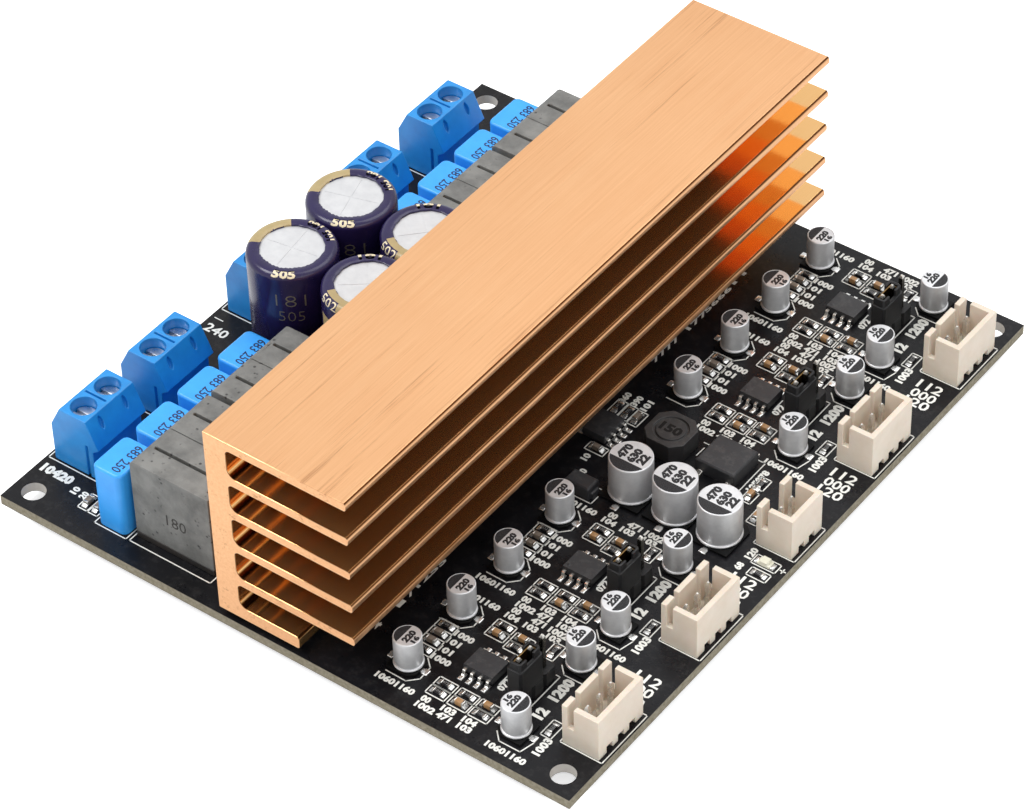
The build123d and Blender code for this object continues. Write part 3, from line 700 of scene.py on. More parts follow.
# Film capacitors
filmLook = {
    "case": {
        "colour": (58, 166, 250), "other": (44, 150, 238), "roughness": 0.36, "spread": 0.06, "grain": 2200.0,
        "depth": 0.008,
    },
    "ink": {"colour": (10, 38, 84), "roughness": 0.6, "driftScale": 3000.0},
    "sideRadius": 1.0,
    "topRadius": 0.45,
    "leadSize": 0.6,
    "leadPitch": 5.0,
    "number": "683 250",
    "numberHeight": 1.55,
    "numberWidth": 5.6,
    "numberOffset": 1.0,
    "boldness": 0.015,
}


def makeFilmCapacitors():
    cases, leads, numbers = (bmesh.new() for _ in range(3))
    look = filmLook
    number = numberMesh(look["number"], look["numberHeight"], 0.02, look["boldness"], look["numberWidth"])
    for low, high in solidsOf("film_capacitors"):
        case = bmesh.new()
        addBox(case, (low.x, low.y, boardHigh.z), high)
        roundEdges(case, edgesAlong(case, 2, mm), look["sideRadius"] * mm, 5)
        top = [edge for edge in case.edges if min(vert.co.z for vert in edge.verts) > high.z - 0.01 * mm]
        roundEdges(case, top, look["topRadius"] * mm, 4)
        cases.from_mesh(asMesh(case))
        middle = (low + high) / 2
        addLeads(leads, middle, look, 1, low.z, boardHigh.z + look["leadSize"] / 2 * mm)
        top = Vector((middle.x + look["numberOffset"] * mm, middle.y, high.z - inkDepth))
        stamp(numbers, number, placed(top, -90))
    case = makeFinish("filmCase", look["case"], {"Subsurface Weight": 0.05, "Subsurface Scale": 0.002})
    addPiece("filmCases", cases, [case], replaced=["film_capacitors"], weighted=True)
    addPiece("filmLeads", leads, [tinned])
    addPiece("filmNumbers", numbers, [makeFinish("filmInk", look["ink"])])


makeFilmCapacitors()
print("stage: film capacitors ready")


# Output inductors
inductorLook = {
    "ferrite": {
        "colour": (124, 125, 123), "other": (84, 85, 84), "driftScale": 260.0, "drift": 0.9,
        "roughness": 0.58, "spread": 0.14, "grain": 2600.0, "depth": 0.04, "pits": 1.2, "dust": 0.1,
    },
    "pitColour": (46, 46, 46),
    "pitScale": 1100.0,
    "patchScale": 420.0,
    "edge": 0.13,
    "base": {"colour": (30, 28, 27), "other": (44, 38, 34), "roughness": 0.5},
    "wire": {"colour": (205, 118, 66), "other": (150, 78, 40), "roughness": 0.28, "driftScale": 1500.0},
    "turns": 9,
    "turnGap": 0.08,
    "cornerRadius": 1.6,
    "windowMargin": 4.0,
    "baseEdge": 0.12,
    "leadSize": 0.8,
    "leadPitch": 7.6,
    "number": "180",
    "numberHeight": 1.9,
    # The number's place on a core's end, as parts of its width and height
    "numberPlace": (0.55, 0.4),
    "ink": {"colour": (52, 50, 48), "roughness": 0.7},
}


def makeTurn(width, height, thickness):
    # One turn of flat wire wound on edge, lying in the x, z plane
    bm = bmesh.new()
    addBox(bm, (-width / 2, 0, -height / 2), (width / 2, thickness, height / 2))
    roundEdges(bm, edgesAlong(bm, 1, thickness / 2), inductorLook["cornerRadius"] * mm, 5)
    bm.normal_update()
    faces = [face for face in bm.faces if abs(face.normal.y) > 0.9]
    bmesh.ops.inset_individual(bm, faces=faces, thickness=inductorLook["windowMargin"] * mm)
    bm.faces.ensure_lookup_table()
    rings = [face for face in bm.faces if face in faces]
    bmesh.ops.bridge_loops(bm, edges=list({edge for face in rings for edge in face.edges}))
    bmesh.ops.delete(bm, geom=rings, context="FACES")
    bmesh.ops.recalc_face_normals(bm, faces=bm.faces)
    return asMesh(bm)


def makeFerrite():
    # Sintered grey with small dark pits, gathered in patches
    material = makeFinish("ferrite", inductorLook["ferrite"])
    tree = material.node_tree
    colour = tree.nodes["Principled BSDF"].inputs["Base Color"]
    where = objectPlace(tree)
    cells = addNode(tree, "TexVoronoi", {"Vector": where, "Scale": inductorLook["pitScale"]})["Distance"]
    patch = rescale(tree, addNoise(tree, where, inductorLook["patchScale"], 4.0, 0.65), 0.52, 0.6)
    pits = calculate(tree, "MULTIPLY", rescale(tree, cells, 0.3, 0.16), patch)
    dark = paint(*inductorLook["pitColour"])
    tree.links.new(mixColours(tree, pits, colour.links[0].from_socket, dark), colour)
    return material


def makeInductors():
    look = inductorLook
    ferrite = makeFerrite()
    numbers = bmesh.new()
    mark = numberMesh(look["number"], look["numberHeight"], 0.03)
    stand = Matrix.Rotation(math.radians(90), 4, "X")
    across, up = look["numberPlace"]
    for number in range(1, 5):
        node = f"inductor_core_{number}"
        roundedCopy(node, f"inductorCore{number}", ferrite, look["edge"], 3)
        low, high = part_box(node)
        face = Vector((low.x + (high.x - low.x) * across, low.y + 0.02 * mm, low.z + (high.z - low.z) * up))
        stamp(numbers, mark, Matrix.Translation(face) @ stand)
    addPiece("inductorNumbers", numbers, [makeFinish("ferriteInk", look["ink"])])
    base = makeFinish("inductorBase", look["base"])
    roundedCopy("inductor_bases", "inductorBases", base, look["baseEdge"])
    coils = bmesh.new()
    half = look["leadSize"] / 2 * mm
    coreLow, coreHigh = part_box("inductor_core_1")
    centre = (coreLow.z + coreHigh.z) / 2
    leadX = (coreLow.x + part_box("inductor_bases")[1].x) / 2
    for low, high in solidsOf("inductor_windings"):
        middle = (low + high) / 2
        height = (high.z - centre) * 2
        step = (high.y - low.y) / look["turns"]
        turn = makeTurn(high.x - low.x, height, step - look["turnGap"] * mm)
        for count in range(look["turns"]):
            stamp(coils, turn, Matrix.Translation((middle.x, low.y + step * count, centre)))
        addLeads(coils, Vector((leadX, middle.y)), look, 0, low.z, centre - height / 2 + half)
    wire = makeFinish("flatWire", look["wire"], {"Metallic": 1.0})
    replaced = ["inductor_windings"]
    addPiece("inductorCoils", coils, [wire], replaced=replaced, weighted=True)


makeInductors()
print("stage: inductors ready")


# Bulk capacitors
bulkLook = {
    "sleeve": {
        "colour": (37, 29, 73), "other": (29, 23, 58), "roughness": 0.24, "spread": 0.05, "grain": 900.0,
        "depth": 0.02,
    },
    "gold": {"colour": (172, 154, 112), "other": (150, 132, 92), "roughness": 0.36},
    "rimInk": {"colour": (226, 214, 184), "other": (206, 192, 158), "roughness": 0.5},
    "can": {"colour": (206, 207, 209), "other": (190, 191, 194), "roughness": 0.42, "driftScale": 700.0},
    # A darker copy of the rim's ink for the print on the sleeves' sides: painted shade
    "shadedSideInk": {"colour": (104, 99, 88), "roughness": 0.5},
    "rimRadius": 1.0,
    "lipRadius": 4.55,
    "grooveHeight": 2.4,
    "grooveDepth": 0.28,
    "discDrop": 0.35,
    "scoreWidth": 0.13,
    "scoreDepth": 0.045,
    "scoreReach": 4.0,
    "scoreTurn": (8.0, 34.0),
    "skirtDepth": 0.2,
    # How the sleeve's inner lip wavers: depth and count, and for the pucker also its angle from the band
    "lipWave": (0.05, 7),
    "lipRipple": (0.035, 19),
    "lipPucker": (0.07, 48, 150.0),
    "coat": {"Coat Weight": 0.1, "Coat Roughness": 0.12, "Specular IOR Level": 0.34},
    "bandStart": (130.0, 233.0),
    "bandSpan": 75.0,
    # A window in the gold band: its span in degrees, how far in it reaches and how far down
    "window": (0.0, 32.0),
    "windowReach": 5.6,
    "windowDepth": 3.4,
    "steps": 144,
    "leadSize": 0.6,
    "leadPitch": 5.0,
    # Text, height, width, level from the top, angle and boldness, for the capacitors beside the terminals and
    # then for those beside the heat sink
    "rimWords": (
        (("505", 1.3, 3.6, 0.15, 297.0, 0.04), ("105 180", 1.2, 6.4, 0.68, 76.0, 0.03)),
        (("181", 1.2, 3.9, 0.65, 124.0, 0.03), ("502", 1.4, 3.4, -0.5, 250.0, 0.0)),
    ),
    "sideWords": (
        (("181", 2.0, 4.3, -4.5, 305.0, -0.02), ("505", 1.7, 3.7, -7.3, 305.0, -0.02)),
        (("181", 2.0, 4.3, -4.5, 48.0, -0.02), ("505", 1.7, 3.7, -7.3, 48.0, -0.02)),
    ),
    "wordStep": 0.22,
    "wordThickness": 0.03,
    "leadEdge": 0.4,
}


def sleeveProfile(radius, height):
    rim = bulkLook["rimRadius"]
    groove = bulkLook["grooveHeight"]
    dip = bulkLook["grooveDepth"]
    lip = bulkLook["lipRadius"]
    profile = [(0, 0), (radius - 1.2, 0), (radius - 0.35, 0.05), (radius, 0.45), (radius, groove - 0.7)]
    profile += [(radius - dip, groove - 0.2), (radius - dip, groove + 0.2), (radius, groove + 0.7)]
    profile.append((radius, height - bulkLook["windowDepth"]))
    profile += arcPoints((radius - rim, height - rim), rim, 0, 90, 8)
    profile += [(lip + 0.12, height), (lip, height - 0.08), (lip, height - bulkLook["discDrop"] - 0.05)]
    profile.append((0, height - bulkLook["discDrop"] - 0.05))
    return profile


def makeSleeve(radius, height, band, window):
    # A shrunk sleeve whose inner lip wavers a little, with one gold band
    bm = bmesh.new()
    addSpin(bm, sleeveProfile(radius, height), bulkLook["steps"])
    lip = bulkLook["lipRadius"]
    wave, ripple, pucker = bulkLook["lipWave"], bulkLook["lipRipple"], bulkLook["lipPucker"]
    for vert in bm.verts:
        reach = math.hypot(vert.co.x, vert.co.y) / mm
        if lip - 0.2 < reach < lip + 0.3 and vert.co.z > (height - 1) * mm:
            angle = math.atan2(vert.co.y, vert.co.x)
            change = wave[0] * math.sin(wave[1] * angle + band) + ripple[0] * math.sin(ripple[1] * angle)
            near = max(0.0, math.cos(angle - math.radians(band + pucker[2])))
            change += pucker[0] * math.sin(pucker[1] * angle) * near
            vert.co.x *= 1 + change / reach
            vert.co.y *= 1 + change / reach
    for face in bm.faces:
        centre = face.calc_center_median() / mm
        angle = math.degrees(math.atan2(centre.y, centre.x)) % 360
        reach = math.hypot(centre.x, centre.y)
        high = centre.z > height - bulkLook["windowDepth"] and reach > bulkLook["windowReach"]
        if band < angle < band + bulkLook["bandSpan"] and reach >= lip and centre.z > 0.5:
            face.material_index = 0 if high and angle < band + window else 1
    return asMesh(bm)


def makeScoredDisc():
    # The can's top with its vent score, cut as a cross
    bm = bmesh.new()
    radius = (bulkLook["lipRadius"] + 0.1) * mm
    bmesh.ops.create_circle(bm, cap_ends=True, radius=radius, segments=64)
    half = bulkLook["scoreWidth"] / 2 * mm
    reach = bulkLook["scoreReach"] * mm
    for away in (half, -half, reach, -reach):
        for axis in (Vector((1, 0, 0)), Vector((0, 1, 0))):
            cutAcross(bm, axis * away, axis)
    score = []
    for face in bm.faces:
        near, far = sorted(abs(value) for value in face.calc_center_median().xy)
        if near < half and far < reach:
            score.append(face)
    moveGrown(bm, bmesh.ops.extrude_face_region(bm, geom=score), (0, 0, -bulkLook["scoreDepth"] * mm))
    bmesh.ops.delete(bm, geom=score, context="FACES")
    outer = [edge for edge in bm.edges if edge.is_boundary]
    moveGrown(bm, bmesh.ops.extrude_edge_only(bm, edges=outer), (0, 0, -bulkLook["skirtDepth"] * mm))
    bmesh.ops.contextual_create(bm, geom=[edge for edge in bm.edges if edge.is_boundary])
    bmesh.ops.recalc_face_normals(bm, faces=bm.faces)
    return asMesh(bm)


def wrapNumber(flat, radius, base, top, angle, rim):
    # Lays a flat number on the sleeve: cut into small pieces, up its side and over its rim
    bm = bmesh.new()
    bm.from_mesh(flat)
    step = bulkLook["wordStep"] * mm
    for axis, normal in enumerate((Vector((1, 0, 0)), Vector((0, 1, 0)))):
        reach = max(vert.co[axis] for vert in bm.verts)
        for count in range(-int(reach / step), int(reach / step) + 1):
            cutAcross(bm, normal * count * step, normal)
    mesh = asMesh(bm)
    bend = rim * mm
    start = top * mm - bend
    for vert in mesh.vertices:
        turn = math.radians(angle) + vert.co.x / (radius * mm)
        level = vert.co.y + base * mm
        reach = radius * mm
        if level > start:
            past = level - start
            lean = min(past / bend, math.pi / 2)
            reach = radius * mm - bend * (1 - math.cos(lean)) - max(0, past - bend * math.pi / 2)
            level = start + bend * math.sin(lean)
        reach += vert.co.z
        vert.co = (reach * math.cos(turn), reach * math.sin(turn), level)
    return mesh


def makeBulkCapacitors():
    sleeves, discs, bright, dim, leads = (bmesh.new() for _ in range(5))
    disc = makeScoredDisc()
    solids = solidsOf("bulk_capacitors")
    low, high = solids[0]
    radius = (high.x - low.x) / 2 / mm
    height = (high.z - boardHigh.z) / mm
    lift = Vector((0, 0, (height - bulkLook["discDrop"]) * mm))
    columns = sorted({round(middleOf(pair).x, 4) for pair in solids})
    for order, pair in enumerate(solids):
        centre = middleOf(pair)
        column = columns.index(round(centre.x, 4))
        sleeve = makeSleeve(radius, height - 0.02, bulkLook["bandStart"][column], bulkLook["window"][column])
        stamp(sleeves, sleeve, Matrix.Translation(centre))
        stamp(discs, disc, placed(centre + lift, bulkLook["scoreTurn"][column] + 4 * order))
        for group, words in ((bright, bulkLook["rimWords"]), (dim, bulkLook["sideWords"])):
            for text, size, width, level, angle, bold in words[column]:
                flat = numberMesh(text, size, bulkLook["wordThickness"], bold, width)
                wrapped = wrapNumber(flat, radius, height + level, height, angle, bulkLook["rimRadius"])
                stamp(group, wrapped, Matrix.Translation(centre))
        addLeads(leads, centre, bulkLook, 0, pair[0].z, boardHigh.z, bulkLook["leadEdge"])
    names = (("shrinkSleeve", "sleeve"), ("sleeveGold", "gold"))
    finishes = [makeFinish(name, bulkLook[key], bulkLook["coat"]) for name, key in names]
    can = makeFinish("canTop", bulkLook["can"], {"Metallic": 0.4})
    addPiece("bulkSleeves", sleeves, finishes, replaced=["bulk_capacitors"], crease=50)
    addPiece("bulkDiscs", discs, [can])
    addPiece("bulkRimNumbers", bright, [makeFinish("rimInk", bulkLook["rimInk"])])
    # The side print takes the darker copy of the ink: painted shade
    addPiece("bulkSideNumbers", dim, [makeFinish("shadedSideInk", bulkLook["shadedSideInk"])])
    addPiece("bulkLeads", leads, [tinned], weighted=True)


makeBulkCapacitors()
print("stage: bulk capacitors ready")


# Surface mounted cans
canLook = {
    "metal": {"colour": (218, 219, 221), "other": (198, 199, 202), "roughness": 0.46, "driftScale": 900.0},
    "base": {"colour": (11, 11, 12), "roughness": 0.5},
    "ink": {
        "colour": (13, 13, 15), "other": (62, 62, 66), "roughness": 0.55, "driftScale": 7000.0, "drift": 0.8,
    },
    "baseHeight": 0.45,
    "baseMargin": 0.15,
    "baseCorner": 0.9,
    "topDrop": 0.035,
    # How far right of the board's middle the row beside the heat sink ends
    "rowSplit": 26.0,
    "rim": 0.17,
    "beadRadius": 0.2,
    "beadBulge": 0.1,
    "neckDepth": 0.1,
    "tabWidth": 0.8,
    "tabReach": 0.75,
    "tabThickness": 0.22,
    "tabEdge": 0.08,
    "solderWidth": 1.1,
    "solderLength": 0.9,
    "solderHeight": 0.26,
    "solderEdge": 0.12,
    # Where the dark part of the top starts, as a part of the radius
    "smallMark": 0.26,
    "largeMark": 0.35,
    "largeShift": 0.45,
    "boldness": 0.07,
    # Text, height, width and row, from the middle of the top
    "smallLines": (("220", 1.05, 2.3, 0.25), ("16", 0.85, 1.3, 1.25)),
    "largeLines": (("470", 1.4, 2.9, 1.35), ("630", 1.4, 2.8, -0.25), ("22", 1.4, 2.1, -1.65)),
}


def makeCan(radius, height):
    # The can from its base up: a rolled foot, a shallow neck and a rounded rim
    bm = bmesh.new()
    foot = canLook["baseHeight"]
    bead = canLook["beadRadius"]
    edge = radius + canLook["beadBulge"] - bead
    neck = radius - canLook["neckDepth"]
    rim = canLook["rim"]
    profile = [(0, foot), (edge - 0.05, foot)]
    profile += arcPoints((edge, foot + bead), bead, -80, 75, 6)
    profile += [(neck, foot + 2.1 * bead), (neck, foot + 2.6 * bead), (radius - 0.02, foot + 3.7 * bead)]
    profile += arcPoints((radius - 0.02 - rim, height - rim), rim, 0, 90, 5)
    profile += [(radius - rim - 0.05, height - 0.03), (0, height - 0.03)]
    addSpin(bm, profile, 40)
    return asMesh(bm)


def makeTopMark(radius, height, segment):
    # The dark part of a can's top
    bm = bmesh.new()
    bmesh.ops.create_circle(bm, cap_ends=True, radius=(radius - canLook["rim"] - 0.01) * mm, segments=40)
    cutAcross(bm, Vector((radius * segment * mm, 0, 0)), (1, 0, 0), clear_inner=True)
    moveGrown(bm, bmesh.ops.extrude_face_region(bm, geom=bm.faces[:]), (0, 0, inkDepth))
    bmesh.ops.translate(bm, verts=bm.verts, vec=(0, 0, (height - canLook["topDrop"]) * mm))
    bmesh.ops.recalc_face_normals(bm, faces=bm.faces)
    return asMesh(bm)


def makeCanBase(radius):
    # A square plate with two of its corners cut, toward -x here
    bm = bmesh.new()
    half = (radius + canLook["baseMargin"]) * mm
    addBox(bm, (-half, -half, 0), (half, half, canLook["baseHeight"] * mm))
    corners = [edge for edge in edgesAlong(bm, 2, 0.1 * mm) if edge.verts[0].co.x < 0]
    roundEdges(bm, corners, canLook["baseCorner"] * mm, 1)
    roundEdges(bm, sharpEdges(bm, 0.6), 0.08 * mm, 2)
    return asMesh(bm)


def makeTab(radius):
    # A lead tab at each end and the solder it lies in
    bm = bmesh.new()
    look = {key: value * mm for key, value in canLook.items() if isinstance(value, float)}
    half = look["tabWidth"] / 2
    wide = look["solderWidth"] / 2
    long = look["solderLength"] / 2
    start = (radius - 0.2) * mm
    end = radius * mm + look["baseMargin"] + look["tabReach"]
    for side in (-1, 1):
        ends = sorted((side * start, side * end))
        addBox(bm, (ends[0], -half, 0), (ends[1], half, look["tabThickness"]), look["tabEdge"])
        middle = side * (end - 0.1 * mm)
        top = (middle + long, wide, look["solderHeight"])
        addBox(bm, (middle - long, -wide, 0), top, look["solderEdge"], 3)
    return asMesh(bm)


def makeCans(node, name, turnOf, segment, lines, shift=0.0):
    # The turn says where the dark part of the top lies, and the lines are read along +Y
    cans, bases, tabs, marks, numbers = (bmesh.new() for _ in range(5))
    solids = solidsOf(node)
    low, high = solids[0]
    radius = (high.x - low.x) / 2 / mm - canLook["baseMargin"]
    height = (high.z - boardHigh.z) / mm
    meshes = [makeCan(radius, height), makeCanBase(radius), makeTab(radius)]
    meshes.append(makeTopMark(radius, height, segment))
    for pair in solids:
        centre = middleOf(pair)
        turn = turnOf(centre)
        for group, mesh in zip((cans, bases, tabs, marks), meshes):
            stamp(group, mesh, placed(centre, turn))
        side = -1 if turn == 180 else 1
        for text, size, width, row in lines:
            place = Vector((shift, row * side, height - canLook["topDrop"])) * mm
            number = numberMesh(text, size, 0.012, canLook["boldness"], width)
            stamp(numbers, number, placed(centre, 90) @ Matrix.Translation(place))
    addPiece(name + "Cans", cans, [canMetal], replaced=[node], crease=40)
    addPiece(name + "Bases", bases, [canBase], weighted=True)
    addPiece(name + "Tabs", tabs, [solder], weighted=True)
    addPiece(name + "Marks", marks, [canInk])
    addPiece(name + "Numbers", numbers, [canInk])


def besideHeatsink(place):
    # Tells the small cans beside the heat sink from those beside the headers
    return place.x < (boardLow.x + boardHigh.x) / 2 + canLook["rowSplit"] * mm


def smallTurn(place):
    return 180 if besideHeatsink(place) else 0


canMetal = makeFinish("brushedCan", canLook["metal"], {"Metallic": 0.55})
canBase = makeFinish("canBase", canLook["base"], {"Specular IOR Level": 0.15})
canInk = makeFinish("canInk", canLook["ink"], {"Specular IOR Level": 0.3})
makeCans("small_capacitors", "small", smallTurn, canLook["smallMark"], canLook["smallLines"])
makeCans(
    "large_capacitors", "large", lambda place: -90, canLook["largeMark"], canLook["largeLines"],
    canLook["largeShift"],
)
print("stage: surface mounted cans ready")


# Eight lead chips and power chips, in millimetres
chipLook = {
    "standoff": 0.1,
    "bodyHeight": 1.45,
    "bodyWidth": 3.9,
    "bodyLength": 4.9,
    "span": 6.1,
    "pitch": 1.27,
    "leadWidth": 0.46,
    "leadThickness": 0.2,
    "slope": 0.11,
    "padLength": 1.5,
    "padWidth": 0.72,
    "padHeight": 0.16,
    "padInset": 0.35,
    "dimpleRadius": 0.32,
    "dimpleX": -1.75,
    "dimpleY": -1.2,
}
powerChipLook = {
    "standoff": 0.1,
    "top": 1.0,
    "width": 6.1,
    "slope": 0.1,
    "count": 22,
    "pitch": 0.635,
    "leadHeight": 0.6,
    "leadWidth": 0.25,
    "leadThickness": 0.15,
}


def makeChipBody(length, width, bottom, top, slope):
    # A moulded body that narrows up and down from its middle
    bm = bmesh.new()
    addBox(bm, (-length / 2, -width / 2, bottom), (length / 2, width / 2, top))
    bmesh.ops.subdivide_edges(bm, edges=edgesAlong(bm, 2, (top - bottom) / 2), cuts=1)
    for vert in bm.verts:
        if abs(vert.co.z - (bottom + top) / 2) > (top - bottom) / 4:
            vert.co.x -= math.copysign(slope, vert.co.x)
            vert.co.y -= math.copysign(slope, vert.co.y)
    roundEdges(bm, sharpEdges(bm, 0.6), 0.05 * mm, 2)
    return asMesh(bm)


def makeGullLead(start, end, high, thickness, width):
    # Out along +x, down and out to a foot: a strip that is given its thickness
    bm = bmesh.new()
    knee = start + (end - start) * 0.42
    foot = start + (end - start) * 0.56
    path = [(start - thickness, high), (knee - thickness * 0.6, high), (knee, high - thickness * 0.5)]
    path += [(foot, thickness * 1.5), (foot + thickness * 0.7, thickness), (end, thickness)]
    verts = [bm.verts.new((x, -width / 2, z)) for x, z in path]
    edges = [bm.edges.new(pair) for pair in zip(verts, verts[1:])]
    moveGrown(bm, bmesh.ops.extrude_edge_only(bm, edges=edges), (0, width, 0))
    bmesh.ops.recalc_face_normals(bm, faces=bm.faces)
    if sum(face.normal.z for face in bm.faces) > 0:
        bmesh.ops.reverse_faces(bm, faces=bm.faces)
    bmesh.ops.solidify(bm, geom=bm.faces[:], thickness=-thickness)
    bmesh.ops.recalc_face_normals(bm, faces=bm.faces)
    roundEdges(bm, sharpEdges(bm, 1.0), thickness * 0.2, 1)
    return asMesh(bm)


def makeSolderPad(length, width, height):
    # A low cushion of solder
    bm = bmesh.new()
    addBox(bm, (-length / 2, -width / 2, 0), (length / 2, width / 2, height))
    top = [edge for edge in bm.edges if min(vert.co.z for vert in edge.verts) > height / 2]
    roundEdges(bm, top, height * 0.9, 3)
    return asMesh(bm)


def makeChips():
    bodies, leads, pads, dimples = (bmesh.new() for _ in range(4))
    look = {key: value * mm for key, value in chipLook.items()}
    length, width, height = look["bodyLength"], look["bodyWidth"], look["bodyHeight"]
    body = makeChipBody(length, width, look["standoff"], height, look["slope"])
    high = (look["standoff"] + height) / 2 + look["leadThickness"]
    lead = makeGullLead(width / 2, look["span"] / 2, high, look["leadThickness"], look["leadWidth"])
    pad = makeSolderPad(look["padLength"], look["padWidth"], look["padHeight"])
    radius = look["dimpleRadius"]
    dimple = bmesh.new()
    size = {"radius1": radius, "radius2": radius - 0.04 * mm, "depth": 0.02 * mm}
    bmesh.ops.create_cone(dimple, cap_ends=True, segments=20, **size)
    dimple = asMesh(dimple)
    for low, high in solidsOf("eight_lead_chips"):
        whole = placed(middleOf((low, high)), 90 if high.x - low.x > high.y - low.y else 0)
        stamp(bodies, body, whole)
        for step in range(4):
            for side in (90, -90):
                across = whole @ placed(Vector((look["pitch"] * (step - 1.5), 0, 0)), side)
                stamp(leads, lead, across)
                stamp(pads, pad, across @ Matrix.Translation((look["span"] / 2 - look["padInset"], 0, 0)))
        stamp(dimples, dimple, whole @ Matrix.Translation((look["dimpleX"], look["dimpleY"], height)))
    replaced = ["eight_lead_chips"]
    addPiece("chipBodies", bodies, [blackMoulding], replaced=replaced, weighted=True)
    addPiece("chipLeads", leads, [tinned], weighted=True)
    addPiece("chipSolder", pads, [solder], weighted=True)
    addPiece("chipDimples", dimples, [blackMoulding])


def makePowerChips():
    bodies = bmesh.new()
    leads = bmesh.new()
    look = {key: value * mm for key, value in powerChipLook.items()}
    count = powerChipLook["count"]
    for low, high in solidsOf("power_chips"):
        centre = middleOf((low, high))
        body = makeChipBody(look["width"], high.y - low.y, look["standoff"], look["top"], look["slope"])
        stamp(bodies, body, Matrix.Translation(centre))
        start, end = look["width"] / 2, (high.x - low.x) / 2
        lead = makeGullLead(start, end, look["leadHeight"], look["leadThickness"], look["leadWidth"])
        for step in range(count):
            along = Vector((0, look["pitch"] * (step - (count - 1) / 2), 0))
            for turn in (0, 180):
                stamp(leads, lead, placed(centre + along, turn))
    replaced = ["power_chips"]
    addPiece("powerChipBodies", bodies, [blackMoulding], replaced=replaced, weighted=True)
    addPiece("powerChipLeads", leads, [tinned])


makeChips()
makePowerChips()
print("stage: chips ready")


# Chip resistors and chip capacitors
smallLook = {
    "endLength": 0.32,
    "bodyMargin": 0.02,
    "filletReach": 0.42,
    "filletMargin": 0.06,
    # A fillet's height as a part of the body's, the height of its outer end and how much it narrows
    "filletHeight": 0.55,
    "filletToe": 0.07,
    "filletTaper": 0.86,
    "resistor": {"colour": (26, 26, 30), "other": (40, 40, 44), "roughness": 0.25, "driftScale": 1500.0},
    "tan": {"colour": (176, 136, 92), "other": (150, 110, 70), "roughness": 0.4, "driftScale": 1200.0},
    "worn": {"colour": (128, 116, 104), "other": (92, 82, 74), "roughness": 0.42, "driftScale": 1500.0},
    "ends": {"colour": (204, 203, 199), "other": (150, 149, 146), "roughness": 0.26, "driftScale": 2500.0},
    "ink": {"colour": (128, 128, 126), "roughness": 0.6},
    "numbers": ("104", "220", "473", "150", "332", "681"),
    "numberHeight": 0.42,
    # Ceramic parts nearer than this to the board's edge beside the terminals look worn
    "wornReach": 66.0,
}


def makeSmallBody(length, width, height):
    bm = bmesh.new()
    margin = smallLook["bodyMargin"] * mm
    half = Vector(((length - smallLook["endLength"] * mm) / 2, width / 2 - margin, 0))
    addBox(bm, Vector((0, 0, margin)) - half, Vector((0, 0, height - margin)) + half, 0.05 * mm)
    return asMesh(bm)


def makeSmallEnds(length, width, height):
    bm = bmesh.new()
    end = smallLook["endLength"] * mm
    for start in (-length / 2, length / 2 - end):
        addBox(bm, (start, -width / 2, 0), (start + end, width / 2, height), 0.07 * mm)
    return asMesh(bm)


def makeSmallFillets(length, width, height):
    # A sloping fillet of solder outside each end
    bm = bmesh.new()
    half = width / 2 + smallLook["filletMargin"] * mm
    for side in (-1, 1):
        near = side * (length / 2 - 0.1 * mm)
        far = side * (length / 2 + smallLook["filletReach"] * mm)
        before = set(bm.verts)
        top = (max(near, far), half, height * smallLook["filletHeight"])
        addBox(bm, (min(near, far), -half, 0), top)
        for vert in set(bm.verts) - before:
            if abs(vert.co.x - far) < 0.01 * mm and vert.co.z > 0.05 * mm:
                vert.co.z = smallLook["filletToe"] * mm
                vert.co.y *= smallLook["filletTaper"]
    roundEdges(bm, sharpEdges(bm, 0.3), 0.05 * mm, 2)
    return asMesh(bm)


def lyingShape(low, high):
    # Where a small part lies, turned along its longer side
    return placed(middleOf((low, high)), 90 if high.y - low.y > high.x - low.x else 0)


def makeSmallParts(node, name, finishes):
    # The last of the finishes is for worn parts
    bodies, ends, fillets = (bmesh.new() for _ in range(3))
    solids = solidsOf(node)
    size = solids[0][1] - solids[0][0]
    sizes = (max(size.xy), min(size.xy), size.z)
    meshes = (makeSmallBody(*sizes), makeSmallEnds(*sizes), makeSmallFillets(*sizes))
    for low, high in solids:
        for group, mesh in zip((bodies, ends, fillets), meshes):
            stamp(group, mesh, lyingShape(low, high))
        if (low.x - boardLow.x) / mm < smallLook["wornReach"]:
            bodies.faces.ensure_lookup_table()
            for face in bodies.faces[-len(meshes[0].polygons):]:
                face.material_index = len(finishes) - 1
    addPiece(name + "Bodies", bodies, finishes, replaced=[node], weighted=True)
    addPiece(name + "Ends", ends, [smallEnds], weighted=True)
    addPiece(name + "Solder", fillets, [solder], weighted=True)


def makeResistorNumbers():
    numbers = bmesh.new()
    texts = smallLook["numbers"]
    for order, (low, high) in enumerate(solidsOf("chip_resistors")):
        lift = Matrix.Translation((0, 0, high.z - low.z - 0.018 * mm))
        mesh = numberMesh(texts[order % len(texts)], smallLook["numberHeight"], 0.014)
        stamp(numbers, mesh, lyingShape(low, high) @ lift)
    addPiece("resistorNumbers", numbers, [makeFinish("resistorInk", smallLook["ink"])])


smallEnds = makeFinish("smallEnds", smallLook["ends"], {"Metallic": 0.9})
resistorGlaze = makeFinish("resistorGlaze", smallLook["resistor"])
ceramics = [makeFinish("tanCeramic", smallLook["tan"]), makeFinish("wornCeramic", smallLook["worn"])]
makeSmallParts("chip_resistors", "resistor", [resistorGlaze])
makeResistorNumbers()
makeSmallParts("chip_capacitors", "ceramic", ceramics)
print("stage: small parts ready")


